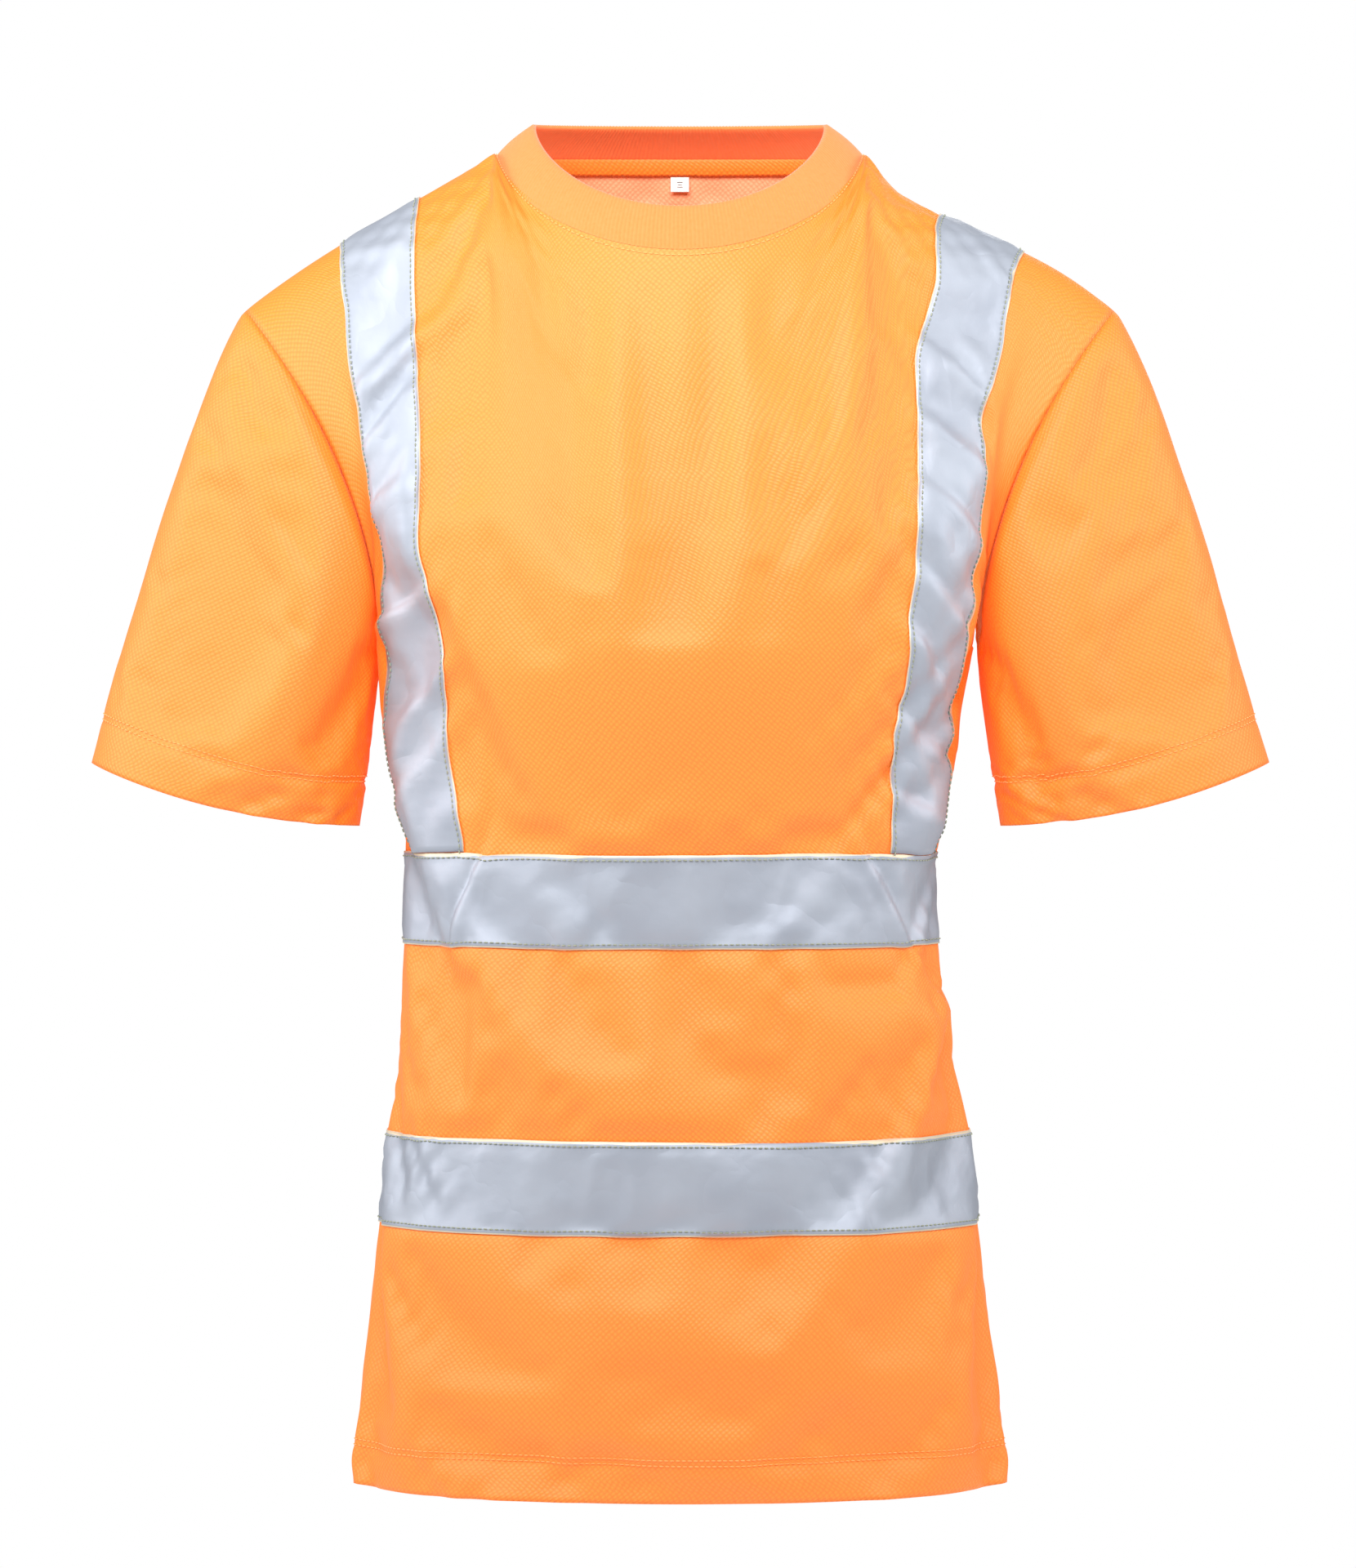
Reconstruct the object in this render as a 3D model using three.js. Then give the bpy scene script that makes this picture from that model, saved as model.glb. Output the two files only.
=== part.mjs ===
// A short-sleeved, crew-neck high-visibility T-shirt, filled out as it is when it is worn.
// Millimetres, +Z up. The wearer faces -Y, so the wearer's right is at -X. The origin is on the centre
// plane, level with the high shoulder points, which are the neck ends of the shoulder seams.
import * as THREE from "three";

// ---- Driving dimensions: lengths down from the high shoulder point
const BODY_LENGTH = 703;
const ARMPIT_DROP = 263;
const SHOULDER_DROP = 83;
const WAIST_DROP = 395;
const UPPER_BAND_DROP = 370;
const LOWER_BAND_DROP = 518;

// Half-widths across the body
const CHEST_HALF_WIDTH = 158;
const WAIST_HALF_WIDTH = 139;
const HEM_HALF_WIDTH = 172;
const SHOULDER_HALF_WIDTH = 231;

// Half-depths, front to back
const CHEST_HALF_DEPTH = 116;
const WAIST_HALF_DEPTH = 99;
const HEM_HALF_DEPTH = 104;
const ARMHOLE_HALF_DEPTH = 46;

// Neckline and rib collar
const NECK_HALF_WIDTH = 97;
const NECK_FRONT_DEPTH = 88;
const NECK_BACK_DEPTH = 62;
const NECK_FRONT_DROP = 57;
const NECK_BACK_RISE = 7;
const RIB_WIDTH = 26;
const RIB_LEAN_FRONT = 30; // degrees in from upright
const RIB_LEAN_SIDE = 50;
const RIB_LEAN_BACK = 58;
const RIB_WALL = 2.2; // the rib is folded double
const RIB_ROLL = 1.6; // how far the middle of the rib swells

// Sleeves
const SLEEVE_TOP_LENGTH = 254; // shoulder point to the hem, along the top fold
const SLEEVE_UNDER_LENGTH = 95; // armpit to the hem
const SLEEVE_TOP_ANGLE = 19; // degrees out from straight down
const SLEEVE_UNDER_ANGLE = 8;
const SLEEVE_HEM_HALF_DEPTH = 50;
const SLEEVE_CAP_SWELL = 7;
const SLEEVE_HEM_BOW = 7;

// Cloth, tape, labels and threads
const CLOTH = 0.8;
const TAPE_WIDTH = 49;
const TAPE_THICKNESS = 0.6;
const BRACE_SHOULDER_INSET = 41; // neck point to the brace, along the shoulder seam
const BRACE_FOOT_HALF_GAP = 111; // centre plane to the brace, at the upper band
const TAPE_STITCH_INSET = 2.5;
const NECK_STITCH_INSET = 5;
const NECK_TAPE_WIDTH = 9;
const NECK_TAPE_INSET = 1.5; // below the back neckline
const NECK_TAPE_GAP = 2.3; // to the back panel, over the seam allowance
const NECK_STITCH_LIFT = 2.8; // the topstitch stands on the seam allowance
const SIZE_LABEL = { width: 10, height: 8, thickness: 0.5 };
const CARE_LABEL = { width: 28, height: 55, thickness: 0.5, drop: 590 };
const HEM_STITCH_RISE = 20;
const SLEEVE_STITCH_RISE = 24;
const THREAD_RADIUS = 0.4;
const ARMHOLE_THREAD_SHRINK = 0.94;
const ARMHOLE_THREAD_INSET = 2;

// Clearances
const SEAM_GAP = 0.8; // between two cloth edges
const LAY_GAP = 0.5; // between the cloth and what is sewn flat on it
const BRACE_GAP = 1.3; // the braces cross the curve of the shoulder, so they stand a little further off

// Shape constants
const OVAL = 2.3; // exponent of the body's section: 2 is an ellipse, more is squarer
const NECK_SHARE = 0.42; // share of each panel's columns that end on the neckline
const NECK_COLUMNS = 16; // of a panel, that end on the neckline
const SHOULDER_COLUMNS = 6; // of a panel, that end on each shoulder seam
const YOKE_ROWS = 12; // above the armpits
const BRACE_COLUMNS = 5; // across a brace, between its two stitch lines

const FRONT = -1;
const BACK = 1;
const RIGHT = -1; // the wearer's right, at -X
const LEFT = 1;

const { lerp, degToRad, smoothstep } = THREE.MathUtils;
const vec = (x, y, z) => new THREE.Vector3(x, y, z);
const steps = (count, from = 0, to = 1) => Array.from({ length: count + 1 }, (_, i) => lerp(from, to, i / count));
const signedPower = (value, power) => Math.sign(value) * Math.abs(value) ** power;

// ---- The body's surface. s runs across a panel from -1 to 1, and v runs up it: 0 at the hem, 1 at the
// armpits and 2 at the shoulder seam and neckline.

function halfWidth(drop) {
  if (drop < WAIST_DROP)
    return lerp(CHEST_HALF_WIDTH, WAIST_HALF_WIDTH, smoothstep(drop, ARMPIT_DROP, WAIST_DROP));
  const down = (drop - WAIST_DROP) / (BODY_LENGTH - WAIST_DROP);
  return lerp(WAIST_HALF_WIDTH, HEM_HALF_WIDTH, lerp(down, smoothstep(down, 0, 1), 0.4));
}

function halfDepth(drop) {
  if (drop < WAIST_DROP)
    return lerp(CHEST_HALF_DEPTH, WAIST_HALF_DEPTH, smoothstep(drop, ARMPIT_DROP, WAIST_DROP));
  return lerp(WAIST_HALF_DEPTH, HEM_HALF_DEPTH, smoothstep(drop, WAIST_DROP, BODY_LENGTH));
}

// The oval section, for a half-width and a half-depth of 1
const ovalX = (s) => signedPower(Math.sin((s * Math.PI) / 2), 2 / OVAL);
const ovalY = (s) => Math.max(Math.cos((s * Math.PI) / 2), 0) ** (2 / OVAL);
const ovalS = (x) => (2 / Math.PI) * Math.asin(x ** (OVAL / 2));

const dropAt = (v) => lerp(BODY_LENGTH, ARMPIT_DROP, v);
const vAtDrop = (drop) => (BODY_LENGTH - drop) / (BODY_LENGTH - ARMPIT_DROP);

// The neckline, by its angle from the centre of the panel
function neckline(face, angle) {
  const inward = Math.cos(angle);
  const y = face === FRONT ? -NECK_FRONT_DEPTH * inward : NECK_BACK_DEPTH * inward;
  const z = face === FRONT ? -NECK_FRONT_DROP * signedPower(inward, 1.3) : NECK_BACK_RISE * inward;
  return vec(NECK_HALF_WIDTH * Math.sin(angle), y, z);
}

// A panel's top edge: shoulder seam, neckline, shoulder seam
function topEdge(face, s) {
  const reach = Math.abs(s);
  if (reach < NECK_SHARE) return neckline(face, (s / NECK_SHARE) * (Math.PI / 2));
  const out = (reach - NECK_SHARE) / (1 - NECK_SHARE);
  const x = lerp(NECK_HALF_WIDTH, SHOULDER_HALF_WIDTH, out);
  return vec(Math.sign(s) * x, 0, -SHOULDER_DROP * (0.9 * out + 0.1 * out ** 4));
}

// The armhole, by its angle from the armpit (0) over the front or back to the shoulder point (pi)
function armhole(side, face, angle) {
  const centre = (ARMPIT_DROP + SHOULDER_DROP) / 2;
  const reach = (ARMPIT_DROP - SHOULDER_DROP) / 2;
  const up = (1 - Math.cos(angle)) / 2;
  return vec(
    side * lerp(CHEST_HALF_WIDTH, SHOULDER_HALF_WIDTH, up ** 2),
    face * ARMHOLE_HALF_DEPTH * Math.sin(angle),
    -centre - reach * Math.cos(angle),
  );
}

function bodyPoint(face, s, v) {
  const splitOff = vec(0, (face * SEAM_GAP) / 2, 0);
  if (v <= 1) {
    const drop = dropAt(v);
    return vec(halfWidth(drop) * ovalX(s), face * halfDepth(drop) * ovalY(s), -drop).add(splitOff);
  }
  const t = v - 1;
  const top = topEdge(face, s);
  const chest = vec(CHEST_HALF_WIDTH * ovalX(s), face * CHEST_HALF_DEPTH * ovalY(s), -ARMPIT_DROP);
  // Under the neckline the cloth runs straight up to the edge. Under the shoulder seam it rolls over.
  const roll = smoothstep(Math.abs(s), NECK_SHARE * 0.3, NECK_SHARE);
  const rise = lerp(t, Math.sin((t * Math.PI) / 2), roll);
  const back = lerp(1 - t ** 2, Math.cos((t * Math.PI) / 2), roll);
  const point = vec(lerp(chest.x, top.x, t ** 2), lerp(top.y, chest.y, back), lerp(chest.z, top.z, rise));
  // The sides are drawn to the armhole
  const side = Math.sign(s);
  if (side === 0) return point.add(splitOff);
  const sideRise = Math.sin((t * Math.PI) / 2);
  const plainEdge = vec(
    side * lerp(CHEST_HALF_WIDTH, SHOULDER_HALF_WIDTH, t ** 2),
    0,
    lerp(-ARMPIT_DROP, -SHOULDER_DROP, sideRise),
  );
  const pull = armhole(side, face, t * Math.PI).sub(plainEdge);
  return point.addScaledVector(pull, Math.abs(s) ** 4).add(splitOff);
}

// The outward normal of a surface that is a function of two numbers
function normalOf(surface, a, b, flip) {
  const reach = 1e-3;
  const across = surface(a + reach, b).sub(surface(a - reach, b));
  const along = surface(a, b + reach).sub(surface(a, b - reach));
  return across.cross(along).normalize().multiplyScalar(flip);
}

const insideBody = (face, s, v) => bodyPoint(face, THREE.MathUtils.clamp(s, -1, 1), THREE.MathUtils.clamp(v, 0, 2));
const bodyNormal = (face, s, v) => normalOf((a, b) => insideBody(face, a, b), s, v, -face);
const onBody = (face, s, v, lift) => bodyPoint(face, s, v).addScaledVector(bodyNormal(face, s, v), lift);

// The s that lies a given length of cloth further out along a row
function sideways(face, s, v, length) {
  const step = 0.002;
  let place = s;
  let left = length;
  let from = bodyPoint(face, place, v);
  while (place < 1) {
    const to = bodyPoint(face, place + step, v);
    const run = to.distanceTo(from);
    if (run >= left) return place + (step * left) / run;
    left -= run;
    place += step;
    from = to;
  }
  return 1;
}

// ---- Closed bodies

function geometryOf(points, index) {
  const geometry = new THREE.BufferGeometry().setFromPoints(points);
  return geometry.setIndex(index);
}

function gridIndex(rows, columns, ring, at) {
  const index = [];
  const last = ring ? columns : columns - 1;
  for (let i = 0; i < rows - 1; i++)
    for (let j = 0; j < last; j++) {
      const [a, b, c, d] = [at(i, j), at(i, j + 1), at(i + 1, j + 1), at(i + 1, j)];
      index.push(a, b, c, a, c, d);
    }
  return index;
}

// The grid's points moved inwards by the wall's thickness
function inset(grid, thickness, ring) {
  const columns = grid[0].length;
  const at = (i, j) => i * columns + (j % columns);
  const skin = geometryOf(grid.flat(), gridIndex(grid.length, columns, ring, at));
  skin.computeVertexNormals();
  const normals = skin.getAttribute("normal");
  const normal = new THREE.Vector3();
  return grid.map((row, i) =>
    row.map((point, j) => point.clone().addScaledVector(normal.fromBufferAttribute(normals, at(i, j)), -thickness)),
  );
}

// A wall between an outer and an inner grid of points. Rows run up the piece and columns run round it, so
// that the outer face looks outwards. A ring's columns close on themselves.
function wall(outer, thickness, ring = false) {
  const inner = inset(outer, thickness, ring);
  const rows = outer.length;
  const columns = outer[0].length;
  const out = (i, j) => i * columns + (j % columns);
  const into = (i, j) => rows * columns + out(i, j);
  const index = gridIndex(rows, columns, ring, out);
  const back = gridIndex(rows, columns, ring, into);
  for (let k = 0; k < back.length; k += 3) index.push(back[k], back[k + 2], back[k + 1]);
  const quad = (a, b, c, d) => index.push(a, b, c, a, c, d);
  const top = rows - 1;
  const end = columns - 1;
  for (let j = 0; j < (ring ? columns : end); j++) {
    quad(out(0, j), into(0, j), into(0, j + 1), out(0, j + 1));
    quad(out(top, j), out(top, j + 1), into(top, j + 1), into(top, j));
  }
  for (let i = 0; i < top && !ring; i++) {
    quad(out(i, 0), out(i + 1, 0), into(i + 1, 0), into(i, 0));
    quad(out(i, end), into(i, end), into(i + 1, end), out(i + 1, end));
  }
  return geometryOf([...outer.flat(), ...inner.flat()], index);
}

// A thread of four-sided section along a line of { point, normal }
function thread(line, closed = false) {
  const count = line.length;
  const points = [];
  line.forEach(({ point, normal }, i) => {
    const before = line[closed ? (i + count - 1) % count : Math.max(i - 1, 0)].point;
    const after = line[closed ? (i + 1) % count : Math.min(i + 1, count - 1)].point;
    const ahead = after.clone().sub(before).normalize();
    const beside = ahead.clone().cross(normal).normalize();
    const above = beside.clone().cross(ahead).normalize();
    for (const [across, up] of [[1, 0], [0, 1], [-1, 0], [0, -1]])
      points.push(
        point
          .clone()
          .addScaledVector(beside, across * THREAD_RADIUS)
          .addScaledVector(above, up * THREAD_RADIUS),
      );
  });
  const at = (i, j) => (i % count) * 4 + (j % 4);
  const index = gridIndex(closed ? count + 1 : count, 4, true, at);
  if (!closed) {
    index.push(0, 2, 1, 0, 3, 2);
    const last = (count - 1) * 4;
    index.push(last, last + 1, last + 2, last, last + 2, last + 3);
  }
  // The section is wound against the direction of travel, so each face is turned to look outwards
  for (let k = 0; k < index.length; k += 3) [index[k + 1], index[k + 2]] = [index[k + 2], index[k + 1]];
  return geometryOf(points, index);
}

// ---- Materials

const CLOTH_LOOK = { color: "#ff9a3c", roughness: 0.9, metalness: 0 };
const RIB_LOOK = { color: "#ffab52", roughness: 0.9, metalness: 0 };
const TAPE_LOOK = { color: "#c3ccd9", roughness: 0.45, metalness: 0.3 };
const LABEL_LOOK = { color: "#f4f2ee", roughness: 0.6, metalness: 0 };
const ORANGE_THREAD_LOOK = { color: "#ffa64d", roughness: 0.7, metalness: 0 };
const GREY_THREAD_LOOK = { color: "#8f9488", roughness: 0.7, metalness: 0 };

const shirt = new THREE.Group();

function add(name, geometry, look, parent = shirt) {
  const mesh = new THREE.Mesh(geometry, new THREE.MeshStandardMaterial(look));
  mesh.name = name;
  parent.add(mesh);
  return mesh;
}

// ---- Front and back panels

const bandEdges = [LOWER_BAND_DROP, UPPER_BAND_DROP].flatMap((drop) => [drop + TAPE_WIDTH, drop]);
const skirtDrops = [
  BODY_LENGTH,
  BODY_LENGTH - HEM_STITCH_RISE,
  (BODY_LENGTH + bandEdges[0]) / 2,
  ...bandEdges.slice(0, 2),
  (bandEdges[1] + bandEdges[2]) / 2,
  ...bandEdges.slice(2),
  (bandEdges[3] + ARMPIT_DROP) / 2,
  ARMPIT_DROP,
];
const yokeLevels = steps(YOKE_ROWS, 1, 2).slice(1);
const neckLevel = 2 - 0.3 / YOKE_ROWS; // a last row close under the neckline, which bends fastest there
const panelLevels = [...skirtDrops.map(vAtDrop), ...yokeLevels.slice(0, -1), neckLevel, 2];
const halfColumns = [...steps(NECK_COLUMNS / 2, 0, NECK_SHARE), ...steps(SHOULDER_COLUMNS, NECK_SHARE, 1).slice(1)];
const columns = [...halfColumns.slice(1).map((s) => -s).reverse(), ...halfColumns];
// The columns run the same way round as seen from outside, front and back
const columnsOf = (face) => (face === FRONT ? columns : [...columns].reverse());

for (const [name, face] of [["front_panel", FRONT], ["back_panel", BACK]]) {
  const grid = panelLevels.map((v) => columnsOf(face).map((s) => bodyPoint(face, s, v)));
  add(name, wall(grid, CLOTH), CLOTH_LOOK);
}

// ---- Sleeves

const sleeves = new Map();

function sleevePoint(side, angle, down) {
  const face = Math.sin(angle) > 0 ? FRONT : BACK;
  const from = armhole(side, face, face === FRONT ? angle : 2 * Math.PI - angle);
  const share = (1 - Math.cos(angle)) / 2; // 0 under the arm, 1 on the top fold
  const polar = (start, length, degrees) =>
    vec(
      side * (start.x + length * Math.sin(degToRad(degrees))),
      0,
      start.z - length * Math.cos(degToRad(degrees)),
    );
  const outer = polar({ x: SHOULDER_HALF_WIDTH, z: -SHOULDER_DROP }, SLEEVE_TOP_LENGTH, SLEEVE_TOP_ANGLE);
  const inner = polar({ x: CHEST_HALF_WIDTH, z: -ARMPIT_DROP }, SLEEVE_UNDER_LENGTH, SLEEVE_UNDER_ANGLE);
  const hem = inner.lerp(outer, share);
  hem.y = -SLEEVE_HEM_HALF_DEPTH * Math.sin(angle);
  hem.z -= SLEEVE_HEM_BOW * Math.sin(angle) ** 2;
  const point = from.lerp(hem, down);
  const swell = SLEEVE_CAP_SWELL * Math.sin(Math.PI * down ** 0.6);
  point.x += side * (swell * share + SEAM_GAP);
  point.y -= swell * Math.sin(angle);
  return point;
}

const sleeveNormal = (side, angle, down) =>
  normalOf((a, b) => sleevePoint(side, a, b), angle, down, -side);
const sleeveAngles = steps(2 * YOKE_ROWS, 0, 2 * Math.PI).slice(0, -1);

for (const [name, side] of [["right", RIGHT], ["left", LEFT]]) {
  const group = new THREE.Group();
  shirt.add(group);
  sleeves.set(name, group);
  const angles = side === RIGHT ? [...sleeveAngles].reverse() : sleeveAngles;
  const rings = steps(7, 1, 0).map((down) => angles.map((angle) => sleevePoint(side, angle, down)));
  add(name + "_sleeve", wall(rings, CLOTH, true), CLOTH_LOOK, group);
  const rise = (angle) => SLEEVE_STITCH_RISE / sleevePoint(side, angle, 0).distanceTo(sleevePoint(side, angle, 1));
  const lift = LAY_GAP + THREAD_RADIUS;
  const line = angles.map((angle) => {
    const down = 1 - rise(angle);
    const normal = sleeveNormal(side, angle, down);
    return { point: sleevePoint(side, angle, down).addScaledVector(normal, lift), normal };
  });
  add(name + "_sleeve_hem_thread", thread(line, true), ORANGE_THREAD_LOOK, group);
}

// ---- Rib collar: a folded band that leans in from the neckline

function ribPoint(angle, up) {
  const face = Math.cos(angle) > 0 ? FRONT : BACK;
  const base = neckline(face, face === FRONT ? angle : Math.PI - angle);
  const front = Math.cos(angle);
  const lean = degToRad(
    lerp(RIB_LEAN_SIDE, front > 0 ? RIB_LEAN_FRONT : RIB_LEAN_BACK, Math.abs(front)),
  );
  const outward = vec(Math.sin(angle) / NECK_HALF_WIDTH, -front / NECK_FRONT_DEPTH, 0).normalize();
  const length = 2 * SEAM_GAP + RIB_WIDTH * up;
  return base
    .addScaledVector(outward, -length * Math.sin(lean) + RIB_ROLL * Math.sin(Math.PI * up))
    .add(vec(0, 0, length * Math.cos(lean)));
}

const ribAngles = steps(2 * NECK_COLUMNS, 0, 2 * Math.PI).slice(0, -1);
const ribRings = steps(4).map((up) => ribAngles.map((angle) => ribPoint(angle, up)));
add("neck_rib", wall(ribRings, RIB_WALL, true), RIB_LOOK);

// ---- What is sewn round the neckline. A place near it is an angle from the panel's centre and a length
// away from the neckline, square to it.

// The place on a panel that is nearest to a point, stepping to it from a first guess
function nearestOnBody(face, target, guess) {
  let { s, v } = guess;
  const reach = 1e-3;
  for (let turn = 0; turn < 20; turn++) {
    const off = target.clone().sub(insideBody(face, s, v));
    const across = insideBody(face, s + reach, v).sub(insideBody(face, s - reach, v)).divideScalar(2 * reach);
    const up = insideBody(face, s, v).sub(insideBody(face, s, v - reach)).divideScalar(reach);
    const [aa, au, uu] = [across.dot(across) + 1, across.dot(up), up.dot(up) + 1];
    const [ao, uo] = [across.dot(off), up.dot(off)];
    const scale = aa * uu - au * au;
    s += (ao * uu - uo * au) / scale;
    v = Math.min(v + (uo * aa - ao * au) / scale, 2);
  }
  return { s, v };
}

function besideNeck(face, angle, away, lift) {
  const s = (angle / (Math.PI / 2)) * NECK_SHARE;
  const nearEdge = { s, v: 1.95 };
  const tangent = neckline(face, angle + 0.01).sub(neckline(face, angle - 0.01)).normalize();
  const outward = tangent.cross(bodyNormal(face, nearEdge.s, nearEdge.v)).multiplyScalar(-face).normalize();
  const place = nearestOnBody(face, bodyPoint(face, s, 2).addScaledVector(outward, away), nearEdge);
  return { point: onBody(face, place.s, place.v, lift), normal: bodyNormal(face, place.s, place.v) };
}

const neckRing = steps(4 * NECK_COLUMNS, 0, 2 * Math.PI).slice(0, -1).map((angle) => {
  const fromCentre = angle > Math.PI ? angle - 2 * Math.PI : angle;
  if (Math.abs(fromCentre) <= Math.PI / 2) return besideNeck(FRONT, fromCentre, NECK_STITCH_INSET, NECK_STITCH_LIFT);
  return besideNeck(BACK, Math.sign(fromCentre) * Math.PI - fromCentre, NECK_STITCH_INSET, NECK_STITCH_LIFT);
});
add("neck_topstitch", thread(neckRing, true), ORANGE_THREAD_LOOK);

const tapeReach = NECK_COLUMNS / 2 - 1; // the neck tape stops a column short of the shoulder seams
const neckTapeAngles = steps(2 * tapeReach, tapeReach, -tapeReach).map((step) => (step * Math.PI) / NECK_COLUMNS);
const neckTape = [NECK_TAPE_INSET + NECK_TAPE_WIDTH, NECK_TAPE_INSET].map((away) =>
  neckTapeAngles.map((angle) => besideNeck(BACK, angle, away, -CLOTH - NECK_TAPE_GAP).point),
);
add("back_neck_tape", wall(neckTape, TAPE_THICKNESS), CLOTH_LOOK);

// ---- Labels: each hangs from one sewn edge

function hangingLabel(name, size, hinge, centre) {
  const group = new THREE.Group();
  group.position.copy(hinge);
  shirt.add(group);
  const mesh = add(name, new THREE.BoxGeometry(...size), LABEL_LOOK, group);
  mesh.position.copy(centre);
}

const labelTop = besideNeck(BACK, 0, NECK_TAPE_INSET + NECK_TAPE_WIDTH + 1, -CLOTH - 3 * LAY_GAP).point;
hangingLabel(
  "size_label",
  [SIZE_LABEL.width, SIZE_LABEL.thickness, SIZE_LABEL.height],
  labelTop,
  vec(0, 0, -SIZE_LABEL.height / 2),
);
const careEdge = halfWidth(CARE_LABEL.drop - CARE_LABEL.height / 2) - CLOTH - 3 * LAY_GAP - 2 * THREAD_RADIUS;
hangingLabel(
  "care_label",
  [CARE_LABEL.width, CARE_LABEL.thickness, CARE_LABEL.height],
  vec(careEdge, 0, -CARE_LABEL.drop),
  vec(-CARE_LABEL.width / 2, 0, 0),
);

// ---- Reflective bands round the body, a front and a back length each

const bandLift = LAY_GAP + TAPE_THICKNESS;
const bandDrops = new Map([["upper", UPPER_BAND_DROP], ["lower", LOWER_BAND_DROP]]);
for (const [name, drop] of bandDrops)
  for (const [half, face] of [["front", FRONT], ["back", BACK]]) {
    const grid = [drop + TAPE_WIDTH, drop].map((edge) =>
      columnsOf(face).map((s) => onBody(face, s, vAtDrop(edge), bandLift)),
    );
    add(`${name}_band_${half}`, wall(grid, TAPE_THICKNESS), TAPE_LOOK);
  }

// A thread that runs right round the body at one height
function roundBody(drop, lift) {
  const half = (face) =>
    columnsOf(face).slice(0, -1).map((s) => {
      const v = vAtDrop(drop);
      return { point: onBody(face, s, v, lift), normal: bodyNormal(face, s, v) };
    });
  return thread([...half(FRONT), ...half(BACK)], true);
}

const overBand = bandLift + LAY_GAP + THREAD_RADIUS;
for (const [name, drop] of bandDrops) {
  add(name + "_band_top_thread", roundBody(drop + TAPE_STITCH_INSET, overBand), GREY_THREAD_LOOK);
  add(name + "_band_bottom_thread", roundBody(drop + TAPE_WIDTH - TAPE_STITCH_INSET, overBand), GREY_THREAD_LOOK);
}
add("hem_thread", roundBody(BODY_LENGTH - HEM_STITCH_RISE, LAY_GAP + THREAD_RADIUS), ORANGE_THREAD_LOOK);

// ---- Reflective braces, from the upper band in front over the shoulder to the upper band behind

const footLevel = vAtDrop(UPPER_BAND_DROP - SEAM_GAP);
const footS = ovalS(BRACE_FOOT_HALF_GAP / halfWidth(UPPER_BAND_DROP));
const seamS =
  NECK_SHARE + (BRACE_SHOULDER_INSET / (SHOULDER_HALF_WIDTH - NECK_HALF_WIDTH)) * (1 - NECK_SHARE);
const braceClimb = [footLevel, ...panelLevels.filter((v) => v > vAtDrop(UPPER_BAND_DROP))];
const bracePath = [
  ...braceClimb.map((v) => ({ face: FRONT, v })),
  ...braceClimb.slice(0, -1).reverse().map((v) => ({ face: BACK, v })),
];

// A point on the brace: its place on the path, a length out from its inner edge, and a lift off the cloth
function bracePoint(side, { face, v }, across, lift) {
  const inner = lerp(footS, seamS, (v - footLevel) / (2 - footLevel));
  const s = side * sideways(face, inner, v, across);
  const point = onBody(face, s, v, lift);
  if (v === 2) point.y = 0;
  return { point, normal: bodyNormal(face, s, v) };
}

const braceLift = BRACE_GAP + TAPE_THICKNESS;
for (const [name, side] of [["right", RIGHT], ["left", LEFT]]) {
  const across = [0, ...steps(BRACE_COLUMNS, TAPE_STITCH_INSET, TAPE_WIDTH - TAPE_STITCH_INSET), TAPE_WIDTH];
  const widths = side === RIGHT ? [...across].reverse() : across;
  const grid = bracePath.map((place) => widths.map((width) => bracePoint(side, place, width, braceLift).point));
  add(name + "_brace", wall(grid, TAPE_THICKNESS), TAPE_LOOK);
  for (const [edge, width] of [["inner", TAPE_STITCH_INSET], ["outer", TAPE_WIDTH - TAPE_STITCH_INSET]]) {
    const line = bracePath.map((place) => bracePoint(side, place, width, braceLift + LAY_GAP + 2 * THREAD_RADIUS));
    add(`${name}_brace_${edge}_thread`, thread(line), GREY_THREAD_LOOK);
  }
}

// ---- Overlock threads, inside along the seams

const insideLift = -CLOTH - LAY_GAP - THREAD_RADIUS;

function sideSeamLine(side) {
  const levels = panelLevels.filter((v) => v > vAtDrop(BODY_LENGTH - 3) && v < vAtDrop(ARMPIT_DROP + 12));
  return levels.map((v) => {
    const point = vec(side * (halfWidth(dropAt(v)) + insideLift), 0, -dropAt(v));
    return { point, normal: vec(side, 0, 0) };
  });
}

function shoulderSeamLine(side) {
  return steps(SHOULDER_COLUMNS, NECK_SHARE + 0.06, 0.95).map((s) => {
    const point = topEdge(FRONT, side * s).add(vec(0, 0, insideLift * 1.4));
    return { point, normal: vec(0, 0, 1) };
  });
}

// The armhole's seam allowance turns in, so its thread runs on a slightly smaller loop
function armholeLine(side) {
  const middle = vec(0, 0, -(ARMPIT_DROP + SHOULDER_DROP) / 2);
  return sleeveAngles.map((angle) => {
    const face = angle < Math.PI ? FRONT : BACK;
    const point = armhole(side, face, face === FRONT ? angle : 2 * Math.PI - angle);
    const normal = vec(0, point.y, point.z - middle.z).normalize();
    point.y *= ARMHOLE_THREAD_SHRINK;
    point.z = lerp(middle.z, point.z, ARMHOLE_THREAD_SHRINK);
    point.x -= side * ARMHOLE_THREAD_INSET;
    return { point, normal };
  });
}

function underarmLine(side) {
  return steps(5, 0.15, 0.9).map((down) => {
    const normal = vec(-side, 0, 0);
    return { point: sleevePoint(side, 0, down).addScaledVector(normal, 1.4 * insideLift), normal };
  });
}

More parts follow.
